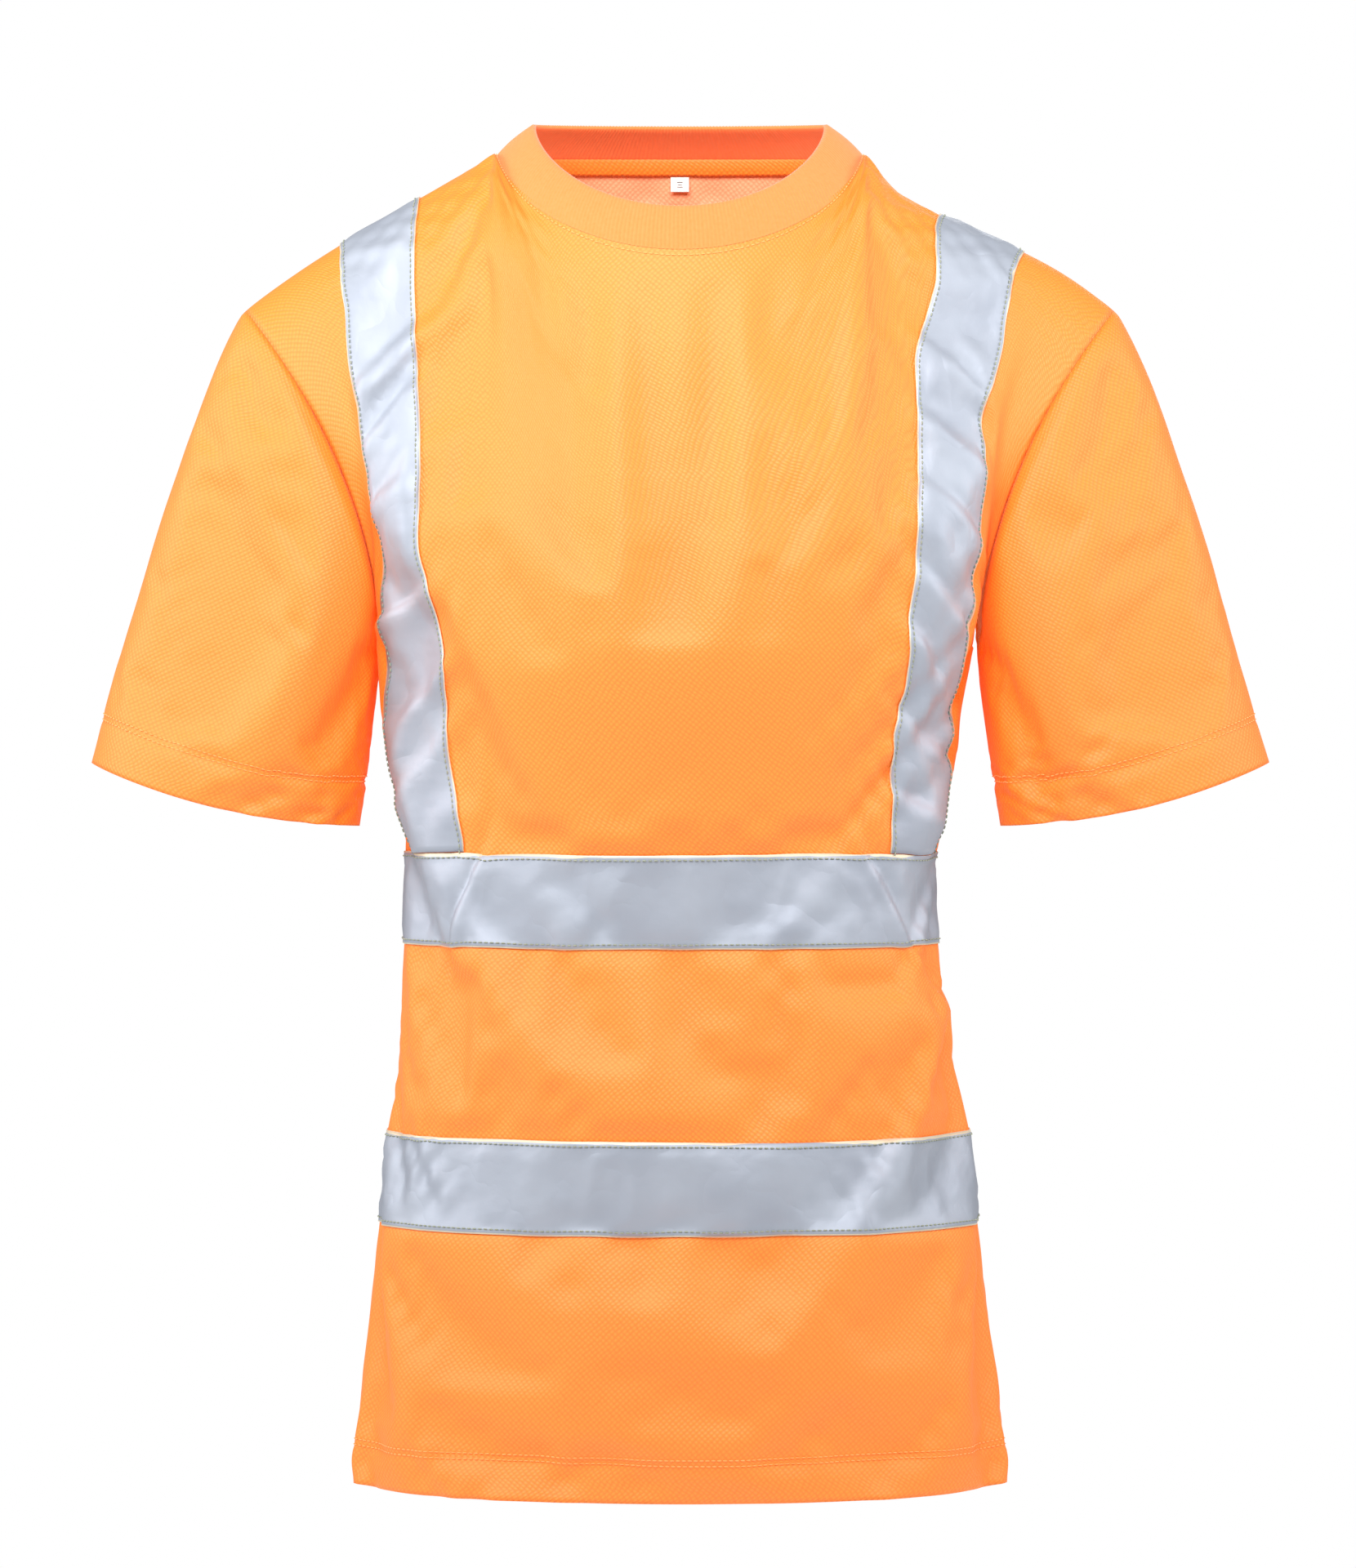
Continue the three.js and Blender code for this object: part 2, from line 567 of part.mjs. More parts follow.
for (const [name, side] of [["right", RIGHT], ["left", LEFT]]) {
  add(name + "_side_seam_thread", thread(sideSeamLine(side)), ORANGE_THREAD_LOOK);
  add(name + "_shoulder_seam_thread", thread(shoulderSeamLine(side)), ORANGE_THREAD_LOOK);
  add(name + "_armhole_thread", thread(armholeLine(side), true), ORANGE_THREAD_LOOK);
  add(name + "_underarm_thread", thread(underarmLine(side)), ORANGE_THREAD_LOOK, sleeves.get(name));
}

export default shirt;
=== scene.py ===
# %% [markdown]
# The object is a short-sleeved T-shirt in fluorescent orange, with reflective tape round the body
# and over the shoulders. It is shown filled out, as on a wearer, with nobody in it.
# The imported model gives the frame: where the pieces lie, which of them move, and how big the whole is.
# Its box is kept here; the floor is set below it at the end.

import bpy
import numpy as np
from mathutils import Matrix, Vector, noise
from mathutils.kdtree import KDTree


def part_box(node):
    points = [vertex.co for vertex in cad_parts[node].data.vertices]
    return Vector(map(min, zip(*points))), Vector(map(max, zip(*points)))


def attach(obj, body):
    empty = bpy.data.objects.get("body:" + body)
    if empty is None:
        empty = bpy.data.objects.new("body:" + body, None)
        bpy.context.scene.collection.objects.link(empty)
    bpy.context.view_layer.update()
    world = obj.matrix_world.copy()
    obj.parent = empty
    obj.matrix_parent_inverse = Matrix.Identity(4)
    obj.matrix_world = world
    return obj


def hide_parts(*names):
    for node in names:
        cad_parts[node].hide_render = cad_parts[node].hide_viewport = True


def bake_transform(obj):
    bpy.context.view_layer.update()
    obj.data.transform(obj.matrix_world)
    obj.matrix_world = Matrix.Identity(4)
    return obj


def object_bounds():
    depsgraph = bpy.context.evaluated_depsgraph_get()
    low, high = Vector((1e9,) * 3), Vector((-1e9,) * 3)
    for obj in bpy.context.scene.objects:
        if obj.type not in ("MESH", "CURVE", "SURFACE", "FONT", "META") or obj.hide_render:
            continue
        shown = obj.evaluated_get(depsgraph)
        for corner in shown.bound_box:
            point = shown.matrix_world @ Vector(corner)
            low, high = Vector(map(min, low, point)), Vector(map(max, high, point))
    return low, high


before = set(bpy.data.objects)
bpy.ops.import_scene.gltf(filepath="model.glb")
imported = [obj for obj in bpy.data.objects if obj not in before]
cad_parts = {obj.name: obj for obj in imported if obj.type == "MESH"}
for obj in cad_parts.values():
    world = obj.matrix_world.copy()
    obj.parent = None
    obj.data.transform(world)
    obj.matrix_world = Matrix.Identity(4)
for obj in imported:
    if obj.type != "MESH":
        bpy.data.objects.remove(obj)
cad_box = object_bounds()
print("pieces in the frame:", len(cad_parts))

# %% [markdown]
# The camera comes early, so that every piece can be judged through it as it is made. It looks
# straight at the chest from nearly three metres with a long lens, as clothes are shown for sale:
# from further away the sleeves and the body keep their true proportions.

# %% Camera
CAMERA_DISTANCE = 2.8
CAMERA_HEIGHT = -0.335
CAMERA_SIDE = -0.001
FRAME_HEIGHT = 0.835  # metres seen from top to bottom, at the shirt's own distance
SENSOR = 36  # millimetres along the taller side of the frame


def in_scene(name, data):
    made = bpy.data.objects.new(name, data)
    bpy.context.scene.collection.objects.link(made)
    return made


camera_data = bpy.data.cameras.new("camera")
camera_data.sensor_width = SENSOR
camera_data.lens = SENSOR * CAMERA_DISTANCE / FRAME_HEIGHT
camera = in_scene("camera", camera_data)
camera.location = (CAMERA_SIDE, -CAMERA_DISTANCE, CAMERA_HEIGHT)
camera.rotation_euler = (np.pi / 2, 0, 0)
bpy.context.scene.camera = camera
print("lens:", round(camera_data.lens, 1), "mm")

# %% [markdown]
# A colour is picked as a hex value, as a dye chart gives it, and the renderer wants it linear, so
# one function turns it. A second function adds a node, sets its inputs and links it, in a finish, a
# world or a node group alike, so that each recipe below stays short. The third starts a finish, and
# the last closes one with the shader and its output.

# %% Colours and nodes
MIX_A, MIX_B = 6, 7  # the colour sockets of a mix node


def dye(hex_colour):
    channels = [int(hex_colour[i : i + 2], 16) / 255 for i in (1, 3, 5)]
    return [c / 12.92 if c <= 0.04045 else ((c + 0.055) / 1.055) ** 2.4 for c in channels] + [1]


def node(owner, kind, inputs, **settings):
    """A new node in a finish, a world or a node group, with its inputs set or linked."""
    tree = getattr(owner, "node_tree", owner)
    made = tree.nodes.new(kind)
    for name, value in settings.items():
        setattr(made, name, value)
    for socket, value in inputs.items():
        if isinstance(value, bpy.types.NodeSocket):
            tree.links.new(value, made.inputs[socket])
        else:
            made.inputs[socket].default_value = value
    return made


def new_finish(name):
    finish = bpy.data.materials.new(name)
    finish.use_nodes = True
    finish.node_tree.nodes.clear()
    return finish


def finish_with(finish, **inputs):
    names = {socket.replace("_", " "): value for socket, value in inputs.items()}
    shader = node(finish, "ShaderNodeBsdfPrincipled", names)
    node(finish, "ShaderNodeOutputMaterial", {"Surface": shader.outputs[0]})
    return finish

# %% [markdown]
# Hi-vis cloth is judged in even light. A soft lamp above and in front gives the chest and shoulders
# their paler top light, one at each side lights the sleeves, the wearer's right one a little more so
# that the folds stay readable, and one behind keeps the back from going dark. The world is white
# where the camera sees it but a fifth as bright where it lights the cloth, because white light from
# all round would wash the orange out.

# %% Studio
CHEST, SLEEVES, COLLAR = (0, 0, -0.3), (0, 0, -0.2), (0, 0, 0.05)
WORLD_LIGHT = 0.2
LAMPS = [  # name, place, aim, width and height, watts
    ("top_lamp", (-0.1, -1.0, 0.5), COLLAR, (1.0, 0.5), 23),
    ("right_lamp", (-1.4, -0.3, 0.2), SLEEVES, (0.5, 0.8), 15),
    ("left_lamp", (1.4, -0.3, 0.2), SLEEVES, (0.5, 0.8), 12),
    ("back_lamp", (0.3, 1.7, 0.5), CHEST, (1.2, 1.2), 14),
]


def soft_lamp(name, place, aim, size, power):
    data = bpy.data.lights.new(name, "AREA")
    data.shape = "RECTANGLE"
    data.size, data.size_y = size
    data.energy = power
    lamp = in_scene(name, data)
    lamp.location = place
    lamp.rotation_euler = (Vector(aim) - Vector(place)).to_track_quat("-Z", "Y").to_euler()


for lamp in LAMPS:
    soft_lamp(*lamp)
world = bpy.data.worlds.new("white_studio")
world.use_nodes = True
world.node_tree.nodes.clear()
white = dye("#ffffff")
lighting = node(world, "ShaderNodeBackground", {"Color": white, "Strength": WORLD_LIGHT}).outputs[0]
seen = node(world, "ShaderNodeBackground", {"Color": white}).outputs[0]
ray = node(world, "ShaderNodeLightPath", {}).outputs["Is Camera Ray"]
either = node(world, "ShaderNodeMixShader", {0: ray, 1: lighting, 2: seen}).outputs[0]
node(world, "ShaderNodeOutputWorld", {"Surface": either})
bpy.context.scene.world = world
bpy.context.scene.view_settings.view_transform = "Standard"
print("lamps:", len(bpy.data.lights))

# %% [markdown]
# The body is knitted in polyester birdseye: small raised stitches set on the diagonal with a hollow
# between each four, about 1.2 mm apart. They are drawn at 2.2 mm, because the real ones are too
# fine to see from where the camera stands. A grid of round cells with hardly any randomness, turned
# 45 degrees, is that knit: the distance from each cell's middle is both the height for the bump and
# a darker orange painted into the hollow as shade. The dye is fluorescent, and the finish is also
# given a painted glow, a little light of its own, so that folds stay orange instead of going grey.
# The fuzz of the yarn is a pale sheen.

# %% Fluorescent orange birdseye polyester, knitted
KNIT_PITCH, KNIT_DEPTH = 0.0022, 0.0004
PATCHES = 7  # a metre: how often the dye turns from one shade to the other


def birdseye(name, raised, hollow_painted_shade, shade, painted_glow, sheen):
    finish = new_finish(name)
    place = node(finish, "ShaderNodeUVMap", {}, uv_map="cloth").outputs[0]
    turned = node(finish, "ShaderNodeMapping", {"Vector": place, "Rotation": (0, 0, np.pi / 4)}).outputs[0]
    cells = node(
        finish,
        "ShaderNodeTexVoronoi",
        {"Vector": turned, "Scale": 1 / KNIT_PITCH, "Randomness": 0.15},
        voronoi_dimensions="2D",
    ).outputs["Distance"]
    depth = node(finish, "ShaderNodeMapRange", {"Value": cells, "From Max": 0.65}).outputs[0]
    where = node(finish, "ShaderNodeTexCoord", {}).outputs["Object"]
    patches = node(finish, "ShaderNodeTexNoise", {"Vector": where, "Scale": PATCHES, "Detail": 3}).outputs[0]
    tones = {"Factor": patches, MIX_A: dye(raised), MIX_B: dye(shade)}
    base = node(finish, "ShaderNodeMix", tones, data_type="RGBA").outputs[2]
    # painted shade: the hollow between the raised stitches gets a darker orange
    tones = {"Factor": depth, MIX_A: base, MIX_B: dye(hollow_painted_shade)}
    knit = node(finish, "ShaderNodeMix", tones, data_type="RGBA").outputs[2]
    bump = {"Height": depth, "Strength": 0.65, "Distance": KNIT_DEPTH}
    rough = node(finish, "ShaderNodeMapRange", {"Value": depth, "To Min": 0.58, "To Max": 0.72})
    # the emission is a painted glow, which keeps the folds from going dark
    return finish_with(
        finish,
        Base_Color=knit,
        Roughness=rough.outputs[0],
        Normal=node(finish, "ShaderNodeBump", bump, invert=True).outputs[0],
        Sheen_Weight=sheen,
        Sheen_Roughness=0.45,
        Sheen_Tint=dye("#ffe9d6"),
        Specular_IOR_Level=1.0,
        Emission_Color=dye("#ff7800"),
        Emission_Strength=painted_glow,
    )


outer_knit = birdseye(
    "fluorescent birdseye polyester, knitted", "#ff8c0a", "#f07200", "#ff8204", painted_glow=0.14, sheen=0.08
)
inner_knit = birdseye(
    "reverse of the birdseye polyester, brushed", "#ffb586", "#f29f70", "#ffae7e", painted_glow=0.05, sheen=0.15
)
print("finish:", outer_knit.name, "at", KNIT_PITCH * 1000, "mm")

# %% [markdown]
# Collar and cuffs are not cut from the same cloth. The collar is a 1x1 rib: one raised wale and one
# sunk one, which lets it stretch over a head. Its wales are real geometry, made with the collar
# itself, so this finish only adds the small slant of the loops, the paler dye of the rib yarn and a
# little painted glow that keeps it orange in shade. Sewing threads are spun polyester: matt, their
# tone and surface varied by one fine noise; the orange thread has a little painted glow as well.

# %% Rib yarn and sewing threads
YARN_GRAIN = 1 / 0.0018  # fibres drawn at 1.8 mm, coarser than they are


def plain_yarn(name, light, dark, painted_glow=0.0):
    finish = new_finish(name)
    where = node(finish, "ShaderNodeTexCoord", {}).outputs["Object"]
    grain = {"Vector": where, "Scale": YARN_GRAIN, "Detail": 2}
    fibres = node(finish, "ShaderNodeTexNoise", grain).outputs[0]
    tones = {"Factor": fibres, MIX_A: dye(light), MIX_B: dye(dark)}
    bump = {"Height": fibres, "Strength": 0.3, "Distance": 0.0003}
    # the emission is a painted glow, which keeps the rib and the orange thread bright in shade
    return finish_with(
        finish,
        Base_Color=node(finish, "ShaderNodeMix", tones, data_type="RGBA").outputs[2],
        Roughness=0.85,
        Normal=node(finish, "ShaderNodeBump", bump).outputs[0],
        Sheen_Weight=0.25,
        Sheen_Roughness=0.5,
        Emission_Color=dye(light),
        Emission_Strength=painted_glow,
    )


rib_yarn = plain_yarn("1x1 rib in fluorescent polyester, knitted", "#ff8648", "#ff7830", painted_glow=0.1)
orange_thread = plain_yarn("spun polyester sewing thread, orange", "#ffb468", "#f08a30", painted_glow=0.08)
grey_thread = plain_yarn("spun polyester sewing thread, grey-green", "#a3a892", "#7c8270")
print("yarns:", rib_yarn.name, orange_thread.name, grey_thread.name, sep="\n  ")

# %% [markdown]
# Reflective tape is woven polyester with a skin of glass beads over aluminium. In ordinary light it
# is a soft blue-grey, half way between cloth and metal: it takes on the orange of the cloth beside
# it in its creases. Fine crumples from washing are bump, the larger ones are in the mesh. Along each
# edge the cut weave shows as a thin cream line.

# %% Glass-bead reflective tape, coated
TAPE_WIDTH, CREAM_EDGE = 49.0, 0.7  # millimetres, as every length from here on
CRUMPLE, BEADS = 1 / 0.04, 1 / 0.0016  # a metre


def reflective(name):
    finish = new_finish(name)
    place = node(finish, "ShaderNodeUVMap", {}, uv_map="cloth").outputs[0]
    across = node(finish, "ShaderNodeSeparateXYZ", {"Vector": place}).outputs["Y"]
    crumples = {"Vector": place, "Scale": CRUMPLE, "Detail": 3, "Roughness": 0.4}
    crumpled = node(finish, "ShaderNodeTexNoise", crumples).outputs[0]
    tone = node(finish, "ShaderNodeValToRGB", {"Fac": crumpled})
    low, high = tone.color_ramp.elements
    low.position, low.color = 0.3, dye("#9fa5b1")
    high.position, high.color = 0.7, dye("#abb1bc")
    from_middle = node(
        finish, "ShaderNodeMath", {0: across, 1: TAPE_WIDTH / 2000}, operation="SUBTRACT"
    ).outputs[0]
    off_middle = node(finish, "ShaderNodeMath", {0: from_middle}, operation="ABSOLUTE").outputs[0]
    limit = {0: off_middle, 1: (TAPE_WIDTH / 2 - CREAM_EDGE) / 1000}
    at_edge = node(finish, "ShaderNodeMath", limit, operation="GREATER_THAN").outputs[0]
    tones = {"Factor": at_edge, MIX_A: tone.outputs[0], MIX_B: dye("#dccfb6")}
    beads = node(finish, "ShaderNodeTexNoise", {"Vector": place, "Scale": BEADS, "Detail": 1}).outputs[0]
    bead_bump = {"Height": beads, "Strength": 0.15, "Distance": 0.0002}
    skin = node(finish, "ShaderNodeBump", bead_bump).outputs[0]
    off_half = node(finish, "ShaderNodeMath", {0: crumpled, 1: 0.5}, operation="SUBTRACT").outputs[0]
    crease = node(finish, "ShaderNodeMath", {0: off_half}, operation="ABSOLUTE").outputs[0]
    bump = {"Height": crease, "Strength": 0.85, "Distance": 0.004, "Normal": skin}
    rough = node(finish, "ShaderNodeMapRange", {"Value": crumpled, "To Min": 0.54, "To Max": 0.68})
    return finish_with(
        finish,
        Base_Color=node(finish, "ShaderNodeMix", tones, data_type="RGBA").outputs[2],
        Metallic=0.45,
        Roughness=rough.outputs[0],
        Normal=node(finish, "ShaderNodeBump", bump).outputs[0],
    )


tape_finish = reflective("glass-bead reflective tape, coated")
print("finish:", tape_finish.name)

# %% [markdown]
# The two labels are satin ribbon: white polyester woven so that most of the thread lies on one face.
# Fine lines across the ribbon and a slight gloss are all there is to it. The size mark is made with
# the label itself.

# %% White polyester satin ribbon, woven
SATIN_PITCH = 0.0009
WAVES = 0.314  # the wave texture's own scale for one line in each unit of length


def satin(name, thread, shaded):
    finish = new_finish(name)
    where = node(finish, "ShaderNodeTexCoord", {}).outputs["Object"]
    lines = node(
        finish,
        "ShaderNodeTexWave",
        {"Vector": where, "Scale": WAVES / SATIN_PITCH, "Distortion": 0.3},
        bands_direction="Z",
    ).outputs["Fac"]
    tones = {"Factor": lines, MIX_A: dye(thread), MIX_B: dye(shaded)}
    bump = {"Height": lines, "Strength": 0.2, "Distance": 0.0001}
    return finish_with(
        finish,
        Base_Color=node(finish, "ShaderNodeMix", tones, data_type="RGBA").outputs[2],
        Roughness=0.4,
        Normal=node(finish, "ShaderNodeBump", bump).outputs[0],
        Sheen_Weight=0.1,
    )


label_satin = satin("white polyester satin ribbon, woven", "#fbfaf7", "#e9e7e2")
label_mark = satin("dark polyester thread, woven in", "#3a3d44", "#3a3d44")
print("finish:", label_satin.name)

# %% [markdown]
# The shirt's surface is a rule, not a pile of points. A place on it is s, which runs across a panel
# from -1 at one side seam to 1 at the other, and v, which runs up it: 0 at the hem, 1 level with the
# armpits, 2 at the shoulder seam and neckline. The same rule shaped the frame, so its lengths are
# read from the frame's boxes where a box shows them, and the rest are named here.

# %% The body's rule
FRONT, BACK = -1, 1
RIGHT, LEFT = -1, 1  # the wearer's right is at -X
SIDES = ((RIGHT, "right"), (LEFT, "left"))


def millimetres(node_name, corner, axis):
    return 1000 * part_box(node_name)[corner][axis]


BODY_LENGTH = -millimetres("front_panel", 0, 2)
UPPER_BAND_DROP = -millimetres("upper_band_front", 1, 2)
LOWER_BAND_DROP = -millimetres("lower_band_front", 1, 2)
BANDS = (("upper", UPPER_BAND_DROP), ("lower", LOWER_BAND_DROP))
ARMPIT_DROP, SHOULDER_DROP, WAIST_DROP = 263, 83, 395
CHEST_HALF_WIDTH, WAIST_HALF_WIDTH, HEM_HALF_WIDTH, SHOULDER_HALF_WIDTH = 158, 139, 172, 231
CHEST_HALF_DEPTH, WAIST_HALF_DEPTH, HEM_HALF_DEPTH, ARMHOLE_HALF_DEPTH = 116, 99, 104, 46
NECK_HALF_WIDTH, NECK_FRONT_DEPTH, NECK_BACK_DEPTH = 97, 88, 62
NECK_FRONT_DROP, NECK_BACK_RISE = 57, 7
OVAL = 2.3  # exponent of the body's section: 2 is an ellipse, more is squarer
NECK_SHARE = 0.42  # share of a panel's width that ends on the neckline


def lerp(a, b, share):
    return a + (b - a) * share


def smoothstep(value, low, high):
    t = np.clip((value - low) / (high - low), 0, 1)
    return t * t * (3 - 2 * t)


def signed_power(value, power):
    return np.sign(value) * np.abs(value) ** power


def xyz(x, y, z):
    return np.stack(np.broadcast_arrays(x, y, z), axis=-1).astype(float)


def half_width(drop):
    above = lerp(CHEST_HALF_WIDTH, WAIST_HALF_WIDTH, smoothstep(drop, ARMPIT_DROP, WAIST_DROP))
    down = np.clip((drop - WAIST_DROP) / (BODY_LENGTH - WAIST_DROP), 0, 1)
    below = lerp(WAIST_HALF_WIDTH, HEM_HALF_WIDTH, lerp(down, smoothstep(down, 0, 1), 0.4))
    return np.where(drop < WAIST_DROP, above, below)


def half_depth(drop):
    above = lerp(CHEST_HALF_DEPTH, WAIST_HALF_DEPTH, smoothstep(drop, ARMPIT_DROP, WAIST_DROP))
    below = lerp(WAIST_HALF_DEPTH, HEM_HALF_DEPTH, smoothstep(drop, WAIST_DROP, BODY_LENGTH))
    return np.where(drop < WAIST_DROP, above, below)


def neckline(face, angle):
    inward = np.cos(angle)
    front = xyz(0, -NECK_FRONT_DEPTH * inward, -NECK_FRONT_DROP * signed_power(inward, 1.3))
    back = xyz(0, NECK_BACK_DEPTH * inward, NECK_BACK_RISE * inward)
    chosen = np.where((np.asarray(face) == FRONT)[..., None], front, back)
    return chosen + xyz(NECK_HALF_WIDTH * np.sin(angle), 0, 0)


def armhole(side, face, angle):
    up = (1 - np.cos(angle)) / 2
    middle, reach = (ARMPIT_DROP + SHOULDER_DROP) / 2, (ARMPIT_DROP - SHOULDER_DROP) / 2
    return xyz(
        side * lerp(CHEST_HALF_WIDTH, SHOULDER_HALF_WIDTH, up**2),
        face * ARMHOLE_HALF_DEPTH * np.sin(angle),
        -middle - reach * np.cos(angle),
    )


def oval(s):
    angle = s * np.pi / 2
    return signed_power(np.sin(angle), 2 / OVAL), np.maximum(np.cos(angle), 0) ** (2 / OVAL)


def body_point(face, s, v):
    s, v = np.broadcast_arrays(np.asarray(s, float), np.asarray(v, float))
    wide, deep = oval(s)
    drop = lerp(BODY_LENGTH, ARMPIT_DROP, np.minimum(v, 1))
    skirt = xyz(half_width(drop) * wide, face * half_depth(drop) * deep, -drop)
    t = np.clip(v - 1, 0, 1)
    out = np.clip((np.abs(s) - NECK_SHARE) / (1 - NECK_SHARE), 0, 1)
    fall = SHOULDER_DROP * (0.9 * out + 0.1 * out**4)
    seam = xyz(np.sign(s) * lerp(NECK_HALF_WIDTH, SHOULDER_HALF_WIDTH, out), 0, -fall)
    round_neck = neckline(face, np.clip(s / NECK_SHARE, -1, 1) * np.pi / 2)
    top = np.where((np.abs(s) < NECK_SHARE)[..., None], round_neck, seam)
    roll = smoothstep(np.abs(s), NECK_SHARE * 0.3, NECK_SHARE)
    rise = lerp(t, np.sin(t * np.pi / 2), roll)
    back = lerp(1 - t**2, np.cos(t * np.pi / 2), roll)
    yoke = xyz(
        lerp(CHEST_HALF_WIDTH * wide, top[..., 0], t**2),
        lerp(top[..., 1], face * CHEST_HALF_DEPTH * deep, back),
        lerp(-ARMPIT_DROP, top[..., 2], rise),
    )
    side = np.sign(s)
    plain_edge = xyz(
        side * lerp(CHEST_HALF_WIDTH, SHOULDER_HALF_WIDTH, t**2),
        0,
        lerp(-ARMPIT_DROP, -SHOULDER_DROP, np.sin(t * np.pi / 2)),
    )
    pull = armhole(side, face, t * np.pi) - plain_edge
    yoke = yoke + pull * (np.abs(s) ** 4 * (side != 0))[..., None]
    return np.where((v <= 1)[..., None], skirt, yoke)


print("body length", round(BODY_LENGTH), "bands at", round(UPPER_BAND_DROP), round(LOWER_BAND_DROP))

# %% [markdown]
# Cloth that is worn is never the pattern's smooth tube. The tape pulls the waist in and the cloth
# blouses above it, more on the wearer's left, so each side keeps a short outline of its own. Folds
# are ridges from one place to another: soft ones fall off evenly on both sides, and a tuck is steep
# on the side it is laid over. They are given as seen from the front, in millimetres across and down.

# %% Side outlines and folds
RIGHT_OUTLINE = [  # drop, half-width
    (263, 158), (322, 152.5), (350, 150), (364, 145.5), (410, 146.5), (491, 150), (518, 155), (703, 173.5),
]
LEFT_OUTLINE = [
    (263, 155), (318, 142.5), (350, 142.5), (376, 133), (436, 135.5), (455, 143), (480, 144.5),
    (518, 153.5), (703, 172.5),
]
OUTLINE = {RIGHT: RIGHT_OUTLINE, LEFT: LEFT_OUTLINE}


def side_scale(side, drop):
    drops, widths = np.array(OUTLINE[side], float).T
    inside = smoothstep(drop, ARMPIT_DROP - 60, ARMPIT_DROP + 10)
    return lerp(1, np.interp(drop, drops, widths) / half_width(np.maximum(drop, ARMPIT_DROP)), inside)


def fold(x, z, start, end, height, width, lap=0.0):
    ahead = np.subtract(end, start)
    length = np.hypot(*ahead)
    along = ((x - start[0]) * ahead[0] + (z - start[1]) * ahead[1]) / length**2
    across = ((x - start[0]) * ahead[1] - (z - start[1]) * ahead[0]) / length
    ends = smoothstep(along, -0.2, 0.25) * smoothstep(1 - along, -0.2, 0.25)
    reach = np.where(across * lap > 0, width * (1 - abs(lap)), width)
    return height * ends * np.exp(-((across / reach) ** 2))


FRONT_FOLDS = [  # start, end, height, width, lap
    ((-98, -362), (-116, -430), 5.0, 26, 0.93),  # tuck in the upper band, wearer's right
    ((98, -366), (146, -470), 5.5, 30, -0.93),  # tuck in the upper band, wearer's left
    ((-158, -262), (-150, -385), 3.0, 14, 0.0),
    ((150, -300), (128, -372), 4.0, 12, 0.0),
    ((-130, -460), (90, -560), 3.0, 34, 0.0),
    ((-60, -480), (140, -585), 2.5, 30, 0.0),
    ((-150, -560), (20, -660), 3.0, 30, 0.0),
    ((-40, -590), (150, -655), 2.5, 28, 0.0),
    ((-130, -640), (60, -690), 2.5, 22, 0.0),
    ((-100, -440), (20, -505), 2.0, 26, 0.0),
    ((60, -440), (150, -505), 2.5, 20, 0.0),
    ((-150, -100), (-185, -190), 2.5, 14, 0.0),
    ((150, -100), (185, -190), 2.5, 14, 0.0),
    ((-120, -150), (-158, -235), 2.5, 12, 0.0),
    ((118, -190), (158, -262), 2.5, 12, 0.0),
    ((110, -255), (150, -330), 3.0, 11, 0.0),
    ((-112, -250), (-150, -330), 2.5, 11, 0.0),
    # creases that run down and out across the braces, as the arms push the cloth forward
    ((-136, -92), (-172, -138), 2.6, 9, 0.6),
    ((-132, -122), (-168, -172), 3.2, 9, 0.6),
    ((-133, -178), (-160, -196), 2.4, 8, 0.5),
    ((-126, -232), (-158, -254), 4.0, 9, 0.7),
    ((-119, -266), (-148, -304), 3.0, 8, 0.6),
    ((-118, -290), (-146, -362), 3.2, 9, 0.6),
    ((124, -98), (160, -138), 2.6, 9, -0.6),
    ((121, -140), (158, -180), 3.0, 9, -0.6),
    ((119, -176), (155, -219), 3.2, 8, -0.6),
    ((117, -222), (146, -258), 3.6, 8, -0.7),
    ((112, -250), (142, -290), 3.6, 8, -0.7),
    ((108, -290), (144, -326), 3.0, 8, -0.6),
    ((108, -338), (138, -356), 2.2, 6, -0.5),
]
BACK_FOLDS = [
    ((-140, -150), (-40, -330), 2.5, 26, 0.0),
    ((140, -150), (40, -330), 2.5, 26, 0.0),
    ((-120, -430), (60, -520), 2.5, 30, 0.0),
    ((-30, -560), (140, -660), 2.5, 30, 0.0),
    ((-150, -570), (-20, -670), 2.5, 28, 0.0),
]


def ripple(points, length, seed):
    """A smooth height from -1 to 1 that runs on across every seam, as it is read at the place itself."""
    flat = (points.reshape(-1, 3) / length + seed).tolist()
    return np.array([noise.noise(place) for place in flat]).reshape(points.shape[:-1])


print("folds:", len(FRONT_FOLDS), "in front,", len(BACK_FOLDS), "behind")

# %% [markdown]
# The front and the back are cut to the same shape apart from the neck, and are sewn at the shoulders
# and sides. Each is a grid of places on the rule, moved out along the cloth's own normal by its
# folds, and sunk a little where the seams draw it in. One knitted layer is 0.7 mm thick: Solidify
# adds the inside face, which has its own paler finish.

# %% Helpers for sewn cloth
CLOTH = 0.7
SEAM_GAP = 0.06  # between two edges that are sewn together
ROWS_BELOW, ROWS_ABOVE, COLUMNS = 160, 96, 168


def cross_normal(grid, flip):
    normal = np.cross(np.gradient(grid, axis=1), np.gradient(grid, axis=0)) * flip
    return normal / np.maximum(np.linalg.norm(normal, axis=-1, keepdims=True), 1e-9)


def run_length(grid, axis):
    steps = np.linalg.norm(np.diff(grid, axis=axis), axis=-1)
    start = np.zeros_like(np.take(steps, [0], axis=axis))
    return np.concatenate([start, np.cumsum(steps, axis=axis)], axis=axis)


def grid_corners(rows, columns, ring):
    """The four corners of each face of a grid, as rows and columns of the grid."""
    i, j = np.meshgrid(np.arange(rows - 1), np.arange(columns if ring else columns - 1), indexing="ij")
    return [(i, j), (i, j + 1), (i + 1, j + 1), (i + 1, j)]


def numbered(corners, columns, first=0):
    return np.stack([first + a * columns + b % columns for a, b in corners], axis=-1).reshape(-1, 4)


